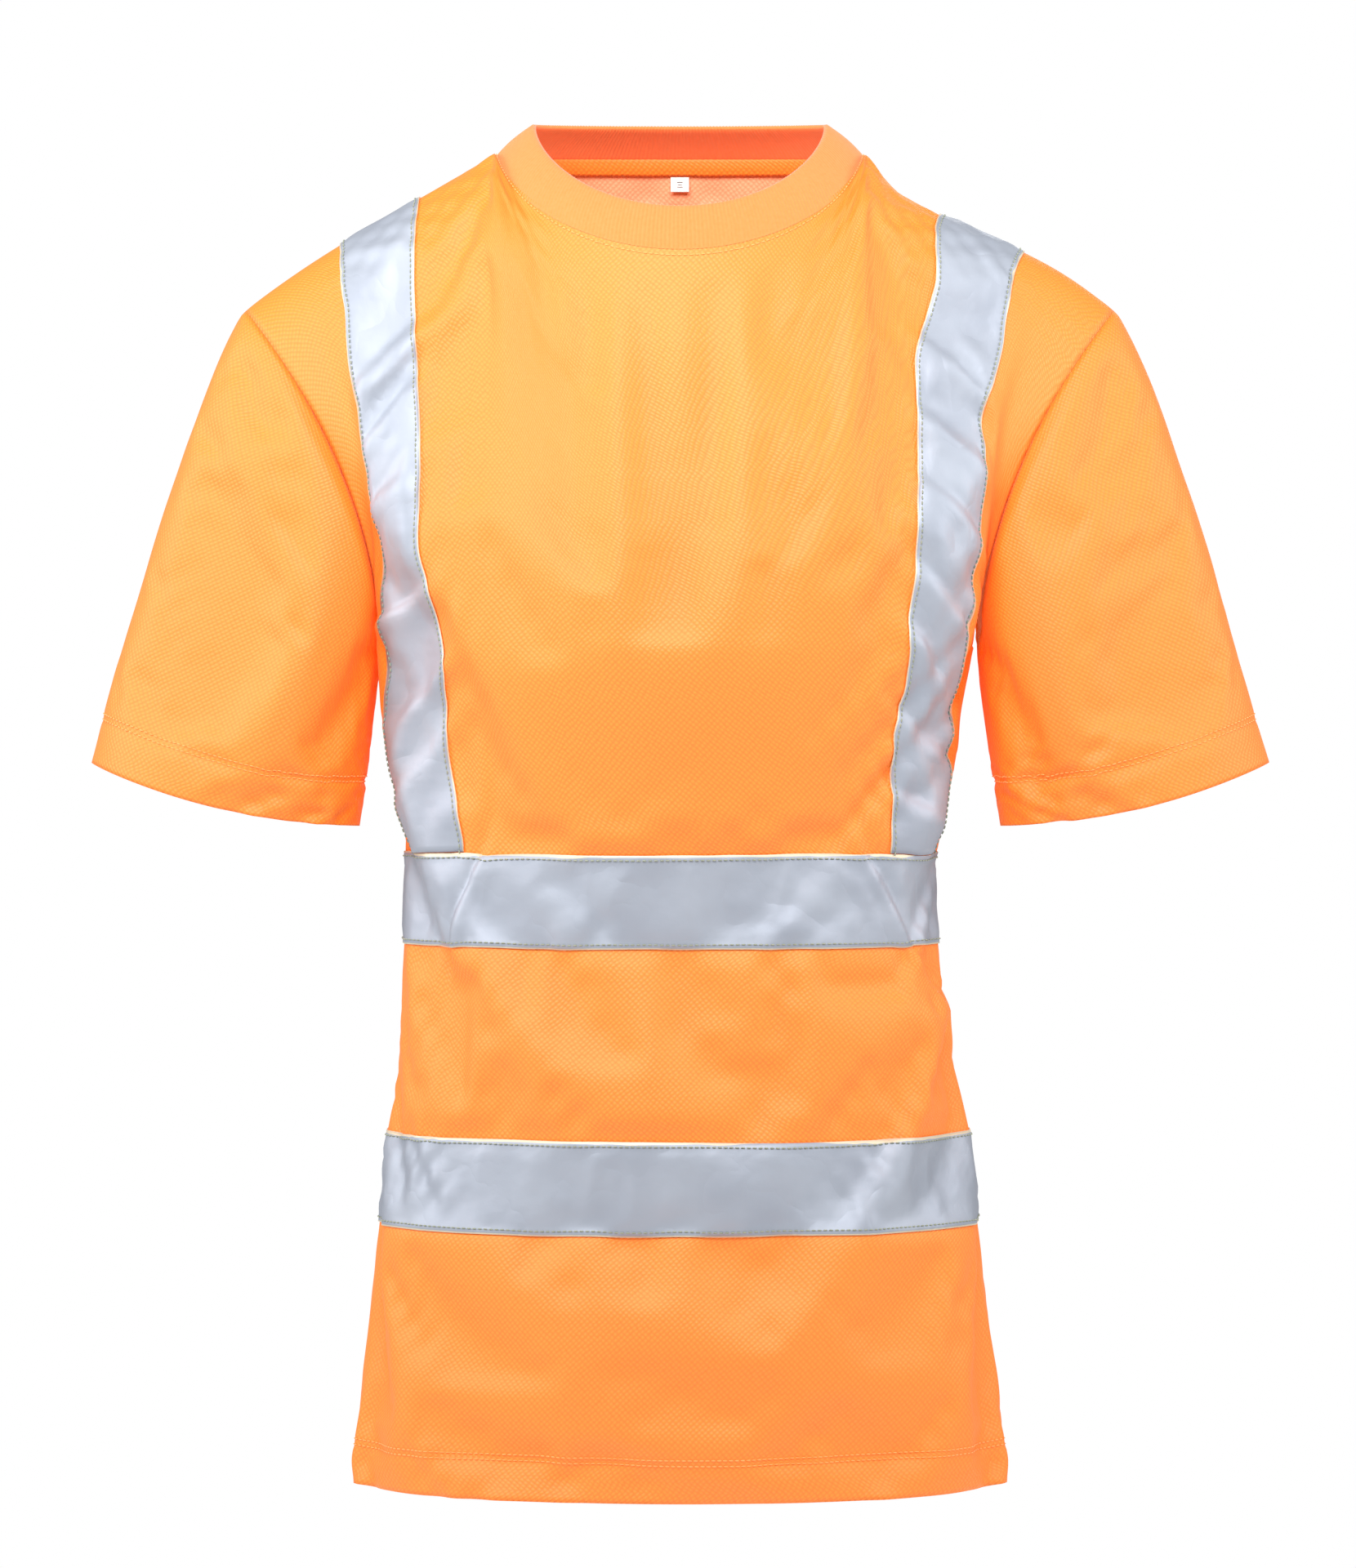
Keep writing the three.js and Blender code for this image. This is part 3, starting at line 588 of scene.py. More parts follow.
def mesh_in_scene(name, places, edges, faces):
    """An object with a new mesh, from places in millimetres."""
    mesh = bpy.data.meshes.new(name)
    mesh.from_pydata((places / 1000).tolist(), edges, faces)
    return in_scene(name, mesh)


def cloth_piece(name, grid, finishes, ring=False, wall=0.0, flip=False):
    """A grid in millimetres as an object, with its own lengths in metres as the UV map "cloth"."""
    closed = np.concatenate([grid, grid[:, :1]], axis=1) if ring else grid
    corners = grid_corners(*grid.shape[:2], ring)
    if flip:
        corners.reverse()
    faces = numbered(corners, grid.shape[1]).tolist()
    piece = mesh_in_scene(name, grid.reshape(-1, 3), [], faces)
    mesh = piece.data
    across, up = run_length(closed, 1) / 1000, run_length(closed, 0) / 1000
    uv = np.stack([np.stack([across[a, b], up[a, b]], axis=-1) for a, b in corners], axis=2)
    mesh.uv_layers.new(name="cloth").data.foreach_set("uv", uv.astype(np.float32).ravel())
    mesh.shade_smooth()
    for finish in finishes:
        mesh.materials.append(finish)
    if wall:
        solid = piece.modifiers.new("inside face", "SOLIDIFY")
        solid.thickness = wall / 1000
        solid.offset = -1
        solid.use_even_offset = False
        solid.material_offset = len(finishes) - 1
        settle(piece)
    return piece


def settle(piece):
    """The modifiers' result becomes the piece's own mesh."""
    bpy.context.view_layer.update()
    made = bpy.data.meshes.new_from_object(piece.evaluated_get(bpy.context.evaluated_depsgraph_get()))
    piece.modifiers.clear()
    piece.data = made
    made.name = piece.name


row_v = np.concatenate([np.linspace(0, 1, ROWS_BELOW + 1), np.linspace(1, 2, ROWS_ABOVE + 1)[1:]])
column_s = np.linspace(-1, 1, COLUMNS + 1)
print("grid of a panel:", len(row_v), "rows of", len(column_s))

# %% [markdown]
# A worn panel has three sizes of relief: the folds above, a swell where the cloth hangs from the
# fullest part of the chest with a shallow hollow below it, and soft ripples at two lengths. All fade
# out toward the seams, which hold the cloth flat, and each row of stitches sinks into it. Last, the
# side outlines are applied, and the wearer's left shoulder falls away faster beside the neck.

# %% Front and back panels
HEM_STITCH_RISE, SLEEVE_STITCH_RISE, STITCH_SINK, STITCH_SPREAD = 20, 24, 0.5, 2.5
RIPPLE_LENGTH, RIPPLE_HEIGHT, FINE_LENGTH, FINE_HEIGHT = 85, 2.2, 34, 0.4
SEAM_SINK, SHOULDER_DIP = 0.2, 10
CHEST_SWELL, CHEST_DROP, CHEST_SPREAD = 9, 200, 62
UNDER_HOLLOW, UNDER_DROP, UNDER_SPREAD = 0.5, 330, 60  # the hollow, as a share of the swell


def bell(value, middle, spread):
    return np.exp(-(((value - middle) / spread) ** 2))


def draped(face):
    s, v = np.meshgrid(column_s, row_v)
    rest = body_point(face, s, v)
    drop = -rest[..., 2]
    side_free = 1 - smoothstep(np.abs(s), 0.86, 1.0)
    top_held = smoothstep(v, 1.8, 1.97) * np.where(np.abs(s) < 0.5, 1, 0.8)
    seam_free = np.where(v > 1, side_free, 1) * (1 - top_held)
    height = RIPPLE_HEIGHT * ripple(rest * [1, 1, 0.8], RIPPLE_LENGTH, 3.7)
    height = height + FINE_HEIGHT * ripple(rest, FINE_LENGTH, 8.1)
    off_side = 1 - smoothstep(np.abs(s), 0.8, 1.0)
    for one_fold in FRONT_FOLDS if face == FRONT else BACK_FOLDS:
        height = height + fold(rest[..., 0], rest[..., 2], *one_fold) * off_side
    if face == FRONT:
        under = UNDER_HOLLOW * bell(drop, UNDER_DROP, UNDER_SPREAD)
        swell = bell(drop, CHEST_DROP, CHEST_SPREAD) - under
        height = height + CHEST_SWELL * swell * np.cos(s * np.pi / 2) ** 0.7
    height = height * seam_free
    height = height - STITCH_SINK * bell(BODY_LENGTH - drop, HEM_STITCH_RISE, STITCH_SPREAD)
    height = height - SEAM_SINK * smoothstep(np.abs(s), 0.985, 1.0)
    grid = rest + cross_normal(rest, -face) * height[..., None]
    for side in (RIGHT, LEFT):
        grid[..., 0] *= np.where(grid[..., 0] * side > 0, side_scale(side, drop), 1)
    grid[..., 1] += face * SEAM_GAP / 2
    dip = smoothstep(grid[..., 0], 95, 118) * (1 - smoothstep(grid[..., 0], 125, 215))
    grid[..., 2] -= SHOULDER_DIP * dip * smoothstep(v, 1.4, 2.0)
    return grid


panels = {face: draped(face) for face in (FRONT, BACK)}
print("a panel's grid:", panels[FRONT].shape[:2])

# %% [markdown]
# A sleeve is one piece of cloth sewn into a tube along the underarm and set into the armhole. Its
# rings go round from the underarm over the front to the top fold and down behind, and they shrink
# into the armhole's own loop, so that the two edges meet all the way round.

# %% Sleeves
SLEEVE_TOP_LENGTH, SLEEVE_UNDER_LENGTH = 254, 95
SLEEVE_TOP_ANGLE, SLEEVE_UNDER_ANGLE = np.radians(19), np.radians(8)
SLEEVE_HEM_HALF_DEPTH, SLEEVE_CAP_SWELL, SLEEVE_HEM_BOW = 50, 7, 7
SLEEVE_RIPPLE, SLEEVE_RIPPLE_LENGTH = 2.4, 48
SLEEVE_ROWS, SLEEVE_COLUMNS = 96, 144


def sleeve_point(side, angle, down):
    angle, down = np.broadcast_arrays(np.asarray(angle, float), np.asarray(down, float))
    face = np.where(np.sin(angle) > 0, FRONT, BACK)
    start = armhole(side, face, np.where(face == FRONT, angle, 2 * np.pi - angle))
    share = (1 - np.cos(angle)) / 2

    def fold_end(x, drop, length, tilt):
        return np.array([side * (x + length * np.sin(tilt)), 0, -drop - length * np.cos(tilt)])

    outer = fold_end(SHOULDER_HALF_WIDTH, SHOULDER_DROP, SLEEVE_TOP_LENGTH, SLEEVE_TOP_ANGLE)
    inner = fold_end(CHEST_HALF_WIDTH, ARMPIT_DROP, SLEEVE_UNDER_LENGTH, SLEEVE_UNDER_ANGLE)
    hem = lerp(inner, outer, share[..., None])
    hem[..., 1] = -SLEEVE_HEM_HALF_DEPTH * np.sin(angle)
    hem[..., 2] -= SLEEVE_HEM_BOW * np.sin(angle) ** 2
    point = lerp(start, hem, down[..., None])
    swell = SLEEVE_CAP_SWELL * np.sin(np.pi * down**0.6)
    point[..., 0] += side * (swell * share + SEAM_GAP)
    point[..., 1] -= swell * np.sin(angle)
    return point


sleeve_angles = np.linspace(0, 2 * np.pi, SLEEVE_COLUMNS + 1)[:-1]
sleeve_downs = np.linspace(1, 0, SLEEVE_ROWS + 1)


def draped_sleeve(side):
    angle, down = np.meshgrid(sleeve_angles, sleeve_downs)
    rest = sleeve_point(side, angle, down)
    length = np.linalg.norm(sleeve_point(side, angle, 0) - sleeve_point(side, angle, 1), axis=-1)
    waves = SLEEVE_RIPPLE * ripple(rest * [1, 1, 0.45], SLEEVE_RIPPLE_LENGTH, 5.2)
    height = (waves + 0.3 * ripple(rest, 26, 9.4)) * smoothstep(down, 0, 0.25)
    height = height - STITCH_SINK * bell((1 - down) * length, SLEEVE_STITCH_RISE, STITCH_SPREAD)
    height = height - SEAM_SINK * (1 - smoothstep(down * length, 0, 4))
    return rest + cross_normal(rest, side) * height[..., None]


sleeves = {side: draped_sleeve(side) for side in (RIGHT, LEFT)}
print("a sleeve's grid:", sleeves[RIGHT].shape[:2])

# %% [markdown]
# The folds above are the large ones. The small slack of knitted cloth comes from a simulation. A
# coarse copy of the shirt, welded at its seams, is knitted a few per cent too large, is held at the
# neck and shoulders and softly everywhere else, as the air and the shape inside hold it, and falls
# for a second or so. Tape doesn't stretch or grow, so the cloth puckers beside it. How far each
# place moved, up to a cap, is then added to the fine cloth.

# %% Slack by cloth simulation
SLACK_STEP, SLEEVE_STEP = 4, 3  # fine grid steps to one coarse step
SLACK_FRAMES, SLACK_GROWTH, SLACK_CAP, SLACK_GRAVITY = 22, 0.03, 11.0, 0.35
ALONG_CLOTH = 0.2  # share kept of the slide along the cloth, so that the bands stay at their heights
WELD = 2.6  # millimetres
SOFT_HOLD, SIDE_HOLD, HEM_HOLD, TAPE_HOLD, TAPE_MARGIN = 0.03, 0.5, 0.2, 0.12, 4
SLEEVE_HOLD, FOLD_HOLD = 0.05, 0.4
CLOTH_SETTINGS = {
    "quality": 6,
    "mass": 0.2,
    "tension_stiffness": 20,
    "compression_stiffness": 20,
    "bending_stiffness": 0.25,
    "vertex_group_mass": "held",
    "pin_stiffness": 1.6,
    "vertex_group_shrink": "tape",
    "shrink_min": -SLACK_GROWTH,
    "shrink_max": 0,
}


def slack_weights(face):
    """How firmly each place is held, and how much of it is tape, on a panel's coarse grid."""
    s, v = np.meshgrid(column_s[::SLACK_STEP], row_v[::SLACK_STEP])
    drop = -body_point(face, s, v)[..., 2]
    held = SOFT_HOLD + (1 - SOFT_HOLD) * smoothstep(v, 1.55, 1.93)
    held = np.maximum(held, SIDE_HOLD * smoothstep(np.abs(s), 0.82, 1.0))
    held = np.maximum(held, HEM_HOLD * smoothstep(0.12 - v, 0, 0.12))
    tape = smoothstep(np.abs(s), 0.7, 0.9)
    for _, top in BANDS:
        inside = (v <= 1) & (drop > top - TAPE_MARGIN) & (drop < top + TAPE_WIDTH + TAPE_MARGIN)
        tape = np.maximum(tape, inside.astype(float))
    return np.maximum(held, TAPE_HOLD * tape), tape


def weld_map(points):
    """The first place that each place shares a seam with."""
    tree = KDTree(len(points))
    for i, place in enumerate(points):
        tree.insert(place, i)
    tree.balance()
    return np.array([min(found[1] for found in tree.find_range(place, WELD)) for place in points])


def hung(points, faces, groups):
    """Where the points have fallen to once the cloth has hung, in millimetres."""
    hanging = mesh_in_scene("slack", points, [], faces)
    for name, values in groups.items():
        group = hanging.vertex_groups.new(name=name)
        for i, value in enumerate(values.tolist()):
            group.add([i], value, "REPLACE")
    cloth = hanging.modifiers.new("cloth", "CLOTH")
    for name, value in CLOTH_SETTINGS.items():
        setattr(cloth.settings, name, value)
    cloth.settings.effector_weights.gravity = SLACK_GRAVITY
    cloth.collision_settings.use_collision = False
    cloth.collision_settings.use_self_collision = False
    cloth.point_cache.frame_start, cloth.point_cache.frame_end = 1, SLACK_FRAMES
    for frame_number in range(1, SLACK_FRAMES + 1):
        bpy.context.scene.frame_set(frame_number)
    fallen = hanging.evaluated_get(bpy.context.evaluated_depsgraph_get()).to_mesh()
    flat = np.empty(len(points) * 3, np.float32)
    fallen.vertices.foreach_get("co", flat)
    bpy.context.scene.frame_set(1)
    bpy.data.objects.remove(hanging)
    return flat.reshape(-1, 3) * 1000


print("cloth settings:", len(CLOTH_SETTINGS), "and", SLACK_FRAMES, "frames")

# %% [markdown]
# The simulation works on one mesh, so the four coarse grids are joined, and places closer than a
# weld's reach become one: that is the sewing. Most of what moved is kept only through the cloth, so
# the bands and hems stay at their heights. The coarse answer is spread over the fine grids along a
# smooth curve, since straight steps would show as facets.

# %% Joining the grids and spreading the slack
def slack(grids, normals, rings, holds, tapes):
    """How far each grid's places move, no further than SLACK_CAP."""
    sizes = [grid.shape[0] * grid.shape[1] for grid in grids]
    starts = np.concatenate([[0], np.cumsum(sizes)])
    points = np.concatenate([grid.reshape(-1, 3) for grid in grids])
    same = weld_map(points)
    used, place_of = np.unique(same, return_inverse=True)
    renumber = np.full(len(points), -1)
    renumber[used] = np.arange(len(used))
    faces = []
    for grid, ring, first in zip(grids, rings, starts):
        faces.append(numbered(grid_corners(*grid.shape[:2], ring), grid.shape[1], first))
    sewn = renumber[same[np.concatenate(faces)]].tolist()
    kept = [face for face in (list(dict.fromkeys(face)) for face in sewn) if len(face) > 2]
    groups = {"held": np.concatenate(holds)[used], "tape": np.concatenate(tapes)[used]}
    moved = hung(points[used], kept, groups)[place_of] - points[same]
    shared = np.zeros_like(points)
    np.add.at(shared, same, np.concatenate([normal.reshape(-1, 3) for normal in normals]))
    outward = shared[same] / np.linalg.norm(shared[same], axis=1, keepdims=True)
    through = outward * np.sum(moved * outward, axis=1, keepdims=True)
    moved = lerp(through, moved, ALONG_CLOTH)
    far = np.linalg.norm(moved, axis=1, keepdims=True)
    print("slack:", round(float(far.mean()), 1), "mm on average, up to", round(float(far.max()), 1))
    moved *= SLACK_CAP * np.tanh(far / SLACK_CAP) / np.maximum(far, 1e-6)
    return [moved[a:b].reshape(grid.shape) for a, b, grid in zip(starts, starts[1:], grids)]


def finer(values, step, axis, ring=False):
    """Values between coarse places, along a smooth curve through four of them at a time."""
    values = np.moveaxis(values, axis, 0)
    count = len(values)
    fine = np.arange(count * step if ring else (count - 1) * step + 1)
    low, part = fine // step, (fine % step / step).reshape(-1, *[1] * (values.ndim - 1))

    def at(k):
        return values[(low + k) % count if ring else np.clip(low + k, 0, count - 1)]

    before, a, b, after = at(-1), at(0), at(1), at(2)
    curve = a + part * (b - before) / 2
    curve = curve + part**2 * (before - 2.5 * a + 2 * b - after / 2)
    curve = curve + part**3 * (1.5 * (a - b) + (after - before) / 2)
    return np.moveaxis(curve, 0, axis)


print("grids to join:", len(panels) + len(sleeves))

# %% [markdown]
# Now the coarse shirt hangs. A sleeve is held along its underarm seam and its top fold, where the
# arm inside carries it, and its cloth is free to swing in between.

# %% Hanging the coarse shirt
coarse = [panels[face][::SLACK_STEP, ::SLACK_STEP] for face in (FRONT, BACK)]
coarse += [sleeves[side][::SLACK_STEP, ::SLEEVE_STEP] for side in (RIGHT, LEFT)]
weights = [slack_weights(face) for face in (FRONT, BACK)]
turn, along = np.meshgrid(sleeve_angles[::SLEEVE_STEP], sleeve_downs[::SLACK_STEP])
along_folds = FOLD_HOLD * np.cos(turn) ** 6
sleeve_hold = (SLEEVE_HOLD + along_folds + HEM_HOLD * smoothstep(along, 0.8, 1)).ravel()
holds = [held.ravel() for held, _ in weights] + [sleeve_hold, sleeve_hold]
sleeve_firm = (np.cos(turn) ** 2).ravel()
tapes = [tape.ravel() for _, tape in weights] + [sleeve_firm] * 2
outwards = [cross_normal(grid, flip) for grid, flip in zip(coarse, (-FRONT, -BACK, RIGHT, LEFT))]
moves = slack(coarse, outwards, [False, False, True, True], holds, tapes)
for face, moved in zip((FRONT, BACK), moves[:2]):
    panels[face] += finer(finer(moved, SLACK_STEP, 0), SLACK_STEP, 1)
for side, moved in zip((RIGHT, LEFT), moves[2:]):
    sleeves[side] += finer(finer(moved, SLACK_STEP, 0), SLEEVE_STEP, 1, ring=True)
panel_normals = {face: cross_normal(panels[face], -face) for face in (FRONT, BACK)}
sleeve_normals = {side: cross_normal(sleeves[side], side) for side in (RIGHT, LEFT)}

# %% [markdown]
# The draped grids now become objects: a skin of birdseye outside and its brushed reverse inside. The
# sleeve is a ring, so its grid closes on itself.

# %% Panels and sleeves as pieces
BOTH_FACES = [outer_knit, inner_knit]
front_panel = cloth_piece("front_panel_cloth", panels[FRONT], BOTH_FACES, wall=CLOTH)
back_panel = cloth_piece("back_panel_cloth", panels[BACK], BOTH_FACES, wall=CLOTH, flip=True)
sleeve_pieces = {}
for side, word in SIDES:
    name = word + "_sleeve_cloth"
    turned = side == RIGHT
    sleeve_pieces[side] = cloth_piece(name, sleeves[side], BOTH_FACES, ring=True, wall=CLOTH, flip=turned)
for piece in (front_panel, back_panel, *sleeve_pieces.values()):
    print(piece.name, len(piece.data.polygons), "faces")

# %% [markdown]
# What is sewn on has to follow the cloth's folds, so each place on it is read off the draped cloth:
# a panel, its s and v, and a lift above the surface. In between the grid's places it is mixed from
# the four nearest.

# %% Reading a place off the draped cloth
def blend_grid(grid, row, column):
    row = np.clip(row, 0, grid.shape[0] - 1.001)
    column = np.clip(column, 0, grid.shape[1] - 1.001)
    i, j = row.astype(int), column.astype(int)
    down, along = (row - i)[..., None], (column - j)[..., None]
    low = lerp(grid[i, j], grid[i, j + 1], along)
    high = lerp(grid[i + 1, j], grid[i + 1, j + 1], along)
    return lerp(low, high, down)


def on_panel(face, s, v, lift=0.0):
    """Places on a draped panel and the cloth's normals there."""
    s, v, lift = np.broadcast_arrays(np.asarray(s, float), np.asarray(v, float), np.asarray(lift, float))
    row = np.where(v <= 1, v * ROWS_BELOW, ROWS_BELOW + (v - 1) * ROWS_ABOVE)
    column = (s + 1) / 2 * COLUMNS
    normal = blend_grid(panel_normals[face], row, column)
    normal = normal / np.linalg.norm(normal, axis=-1, keepdims=True)
    return blend_grid(panels[face], row, column) + normal * lift[..., None], normal


def level(drop):
    return (BODY_LENGTH - drop) / (BODY_LENGTH - ARMPIT_DROP)


print("centre of the chest, in mm:", np.round(on_panel(FRONT, 0, 1.0)[0], 1))

# %% [markdown]
# The reflective bands go round the body in two lengths that meet at the side seams. Tape is stiffer
# than knit: it keeps straight edges, stands a little off the cloth, and buckles into small ridges
# that run across it between its two rows of stitches. The ridges are a height added to the mesh,
# and it fades out at the stitches, which hold the tape down.

# %% Reflective bands
TAPE_WALL, TAPE_LIFT = 0.4, 0.9
STITCH_INSET, FREE_FROM = 2.5, 9  # from the tape's edge: its stitches, and where it is free to buckle
RIDGE_SHARPNESS = 3
BAND_ROWS, BAND_COLUMNS = 16, 260


def crumple(points, across, height, length, seed):
    """Sharp small ridges, zero on both stitch lines of a tape."""
    edge = np.minimum(across, TAPE_WIDTH - across)
    held = smoothstep(edge, STITCH_INSET, FREE_FROM)
    ridges = 1 - np.abs(ripple(points, length, seed)) * RIDGE_SHARPNESS
    return height * held * np.clip(ridges, 0, 1)


def band(drop, face):
    s, across = np.meshgrid(np.linspace(-1, 1, BAND_COLUMNS + 1), np.linspace(0, TAPE_WIDTH, BAND_ROWS + 1))
    v = level(drop + TAPE_WIDTH - across)
    rest = body_point(face, s, v) * [0.9, 0.9, 0.5]
    lift = TAPE_LIFT + crumple(rest, across, height=1.0, length=24, seed=drop / 100)
    return on_panel(face, s, v, lift)[0]


bands = {}
for height, drop in BANDS:
    for half, face in (("front", FRONT), ("back", BACK)):
        name = f"{height}_band_{half}"
        grid, turned = band(drop, face), face == BACK
        bands[name] = cloth_piece(name + "_tape", grid, [tape_finish], wall=TAPE_WALL, flip=turned)
        print(bands[name].name, "made")

# %% [markdown]
# A brace starts at the upper band in front, climbs over the shoulder, and comes down to the upper
# band behind. Its inner edge wanders a little, because tape that is sewn to a stretchy knit creeps
# under the needle, so in front the edge follows a few places listed along it. The outer edge lies
# one tape's width further out, measured along the cloth.

# %% Braces
RIGHT_EDGE = [  # height, distance from the centre line
    (-369, 112), (-346, 115), (-322, 120), (-262, 122), (-235, 129), (-213, 135), (-161, 134), (-67, 139),
]
LEFT_EDGE = [
    (-369, 109), (-309, 110), (-274, 118), (-252, 117), (-231, 121), (-170, 123), (-113, 122), (-70, 134),
]
INNER_EDGE = {RIGHT: RIGHT_EDGE, LEFT: LEFT_EDGE}
SHOULDER_INSET, FOOT_HALF_GAP = 41, 111
SEAM_S = NECK_SHARE + SHOULDER_INSET / (SHOULDER_HALF_WIDTH - NECK_HALF_WIDTH) * (1 - NECK_SHARE)
BRACE_STEPS, BRACE_COLUMNS = 150, 14
foot_v = level(UPPER_BAND_DROP - 0.5)
climb = np.linspace(foot_v, 2, BRACE_STEPS + 1)
fine_s = np.linspace(0, 1, 401)


def inner_edge(side, face, v):
    """s of the brace's inner edge at the height v."""
    foot = 2 / np.pi * np.arcsin((FOOT_HALF_GAP / half_width(UPPER_BAND_DROP)) ** (OVAL / 2))
    plain = lerp(foot, SEAM_S, (v - foot_v) / (2 - foot_v))
    if face == BACK:
        return plain
    row = on_panel(face, side * fine_s, v)[0]
    heights, places = np.array(INNER_EDGE[side], float).T
    height = np.interp(plain, fine_s, row[:, 2])
    reach = np.maximum.accumulate(np.abs(row[:, 0]))
    found = np.interp(np.interp(height, heights, places), reach, fine_s)
    return lerp(found, SEAM_S, smoothstep(v, 1.75, 1.97))


def brace_row(side, face, v):
    row = on_panel(face, side * fine_s, v)[0]
    run = run_length(row[None], 1)[0]
    start = np.interp(inner_edge(side, face, v), fine_s, run)
    return np.interp(start + np.linspace(0, TAPE_WIDTH, BRACE_COLUMNS + 1), run, fine_s)


def brace_places(side):
    """The path's panels, v and s, from the foot in front, over the shoulder, to the foot behind."""
    path = [(FRONT, v) for v in climb] + [(BACK, v) for v in climb[::-1][1:]]
    return path, np.array([side * brace_row(side, face, v) for face, v in path])


def smooth_over(values, times):
    for _ in range(times):
        values[1:-1] = (values[:-2] + 2 * values[1:-1] + values[2:]) / 4
    return values


def brace(side, path, places):
    lifted = []
    across = np.linspace(0, TAPE_WIDTH, BRACE_COLUMNS + 1)
    for (face, v), s in zip(path, places):
        rest = body_point(face, s, v) * [0.8, 0.8, 0.6]
        lift = TAPE_LIFT + crumple(rest, across, height=1.2, length=26, seed=1.7 * side)
        point, _ = on_panel(face, s, v, lift)
        lifted.append(point)
    return np.array(lifted).transpose(1, 0, 2)


brace_paths, braces = {}, {}
for side, word in SIDES:
    path, places = brace_places(side)
    brace_paths[side] = path, smooth_over(places, 6)
    grid = brace(side, *brace_paths[side])
    braces[side] = cloth_piece(word + "_brace_tape", grid, [tape_finish], wall=TAPE_WALL, flip=side == LEFT)
    print(braces[side].name, len(braces[side].data.polygons), "faces")

# %% [markdown]
# The collar is a strip of rib folded double and stretched as it is sewn on, so it leans in from the
# neckline on its own. Each raised wale is a real ridge: four columns of the mesh to a wale, two up
# and two down. The wales are drawn 2.2 mm apart, a little wider than they are. The two layers and
# the rolled top edge are one closed ring.

# %% Rib collar
RIB_WIDTH, RIB_WALL, RIB_ROLL = 26, 2.2, 1.6
RIB_LEAN_FRONT, RIB_LEAN_SIDE, RIB_LEAN_BACK = 30, 50, 58  # degrees in from upright
WALE_PITCH, WALE_HEIGHT, WALE_COLUMNS = 2.2, 0.28, 4


def rib_point(angle, up, inward=0.0):
    front = np.cos(angle)
    base = neckline(np.where(front > 0, FRONT, BACK), np.where(front > 0, angle, np.pi - angle))
    lean = np.radians(lerp(RIB_LEAN_SIDE, np.where(front > 0, RIB_LEAN_FRONT, RIB_LEAN_BACK), np.abs(front)))
    out = xyz(np.sin(angle) / NECK_HALF_WIDTH, -front / NECK_FRONT_DEPTH, 0)
    out = out / np.linalg.norm(out, axis=-1, keepdims=True)
    length = RIB_WIDTH * up
    along = (-length * np.sin(lean) + RIB_ROLL * np.sin(np.pi * up) - inward * np.cos(lean))[..., None]
    return base + out * along + xyz(0, 0, length * np.cos(lean) - inward * np.sin(lean))


fine_ring = np.linspace(0, 2 * np.pi, 721)
fore = np.cos(fine_ring) > 0
ring_line = neckline(np.where(fore, FRONT, BACK), np.where(fore, fine_ring, np.pi - fine_ring))
ring_run = run_length(ring_line[None], 1)[0]
wales = int(round(ring_run[-1] / WALE_PITCH))
ring_places = np.linspace(0, ring_run[-1], wales * WALE_COLUMNS + 1)[:-1]
ring_angles = np.interp(ring_places, ring_run, fine_ring)
wale = WALE_HEIGHT * np.tile([1, 1, 0, 0], wales)
# round the fold: up the outside, over the top edge, down the inside
OUTER_ROWS, INNER_ROWS = 14, 10
ups = np.concatenate([np.linspace(-0.1, 0.96, OUTER_ROWS), [1.0], np.linspace(0.96, -0.1, INNER_ROWS)])
insides = [0.0] * OUTER_ROWS + [RIB_WALL / 2] + [RIB_WALL] * INNER_ROWS
rib_rows = []
for up, inward in zip(ups, insides):
    raised = wale if inward < RIB_WALL / 2 else -wale
    rib_rows.append(rib_point(ring_angles, up, inward - raised))
rib_grid = np.array(rib_rows)
rib = cloth_piece("neck_rib_collar", np.concatenate([rib_grid, rib_grid[:1]]), [rib_yarn], ring=True)
print("wales round the collar:", wales)

# %% [markdown]
# Behind the neck a narrow tape of the same knit covers the seam between the collar and the back
# panel, and the small size label is caught under its lower edge. The places near the neckline are
# read off the back panel's inside face, a length below its edge.

# %% Back neck tape
NECK_TAPE_WIDTH, NECK_TAPE_INSET, NECK_TAPE_GAP = 9, 1.5, 1.6


def below_neck(face, angle, away, lift):
    """Places a length down the panel from the neckline, at an angle from the panel's centre."""
    s = np.asarray(angle, float) / (np.pi / 2) * NECK_SHARE
    edge, _ = on_panel(face, s, 2.0)
    under, _ = on_panel(face, s, 1.9)
    v = 2 - 0.1 * away / np.linalg.norm(edge - under, axis=-1)
    return on_panel(face, s, v, lift)


NECK_TAPE_ROWS, NECK_TAPE_SWELL, NECK_TAPE_REACH = 9, 0.5, 0.87  # the reach is a share of the back
neck_reach = np.pi / 2 * NECK_TAPE_REACH
neck_angles = np.linspace(-neck_reach, neck_reach, 181)
neck_rows = []
for share in np.linspace(0, 1, NECK_TAPE_ROWS):
    up = NECK_TAPE_SWELL * np.sin(np.pi * share)
    away = NECK_TAPE_INSET + NECK_TAPE_WIDTH * share
    neck_rows.append(below_neck(BACK, neck_angles, away, -CLOTH - NECK_TAPE_GAP - up)[0])
neck_tape_grid = np.array(neck_rows)
neck_tape = cloth_piece("back_neck_tape_cloth", neck_tape_grid, [outer_knit], wall=0.6)
print(neck_tape.name, len(neck_tape.data.polygons), "faces")

# %% [markdown]
# Stitches repeat along a path, which is what Geometry Nodes are for. The tree below takes a line of
# places, each with the cloth's normal, spaces points along it by the stitch pitch, and lays one
# short fat thread on each, pointing along the line and standing on the cloth. Each group input is
# set by its identifier, before the line is first evaluated.

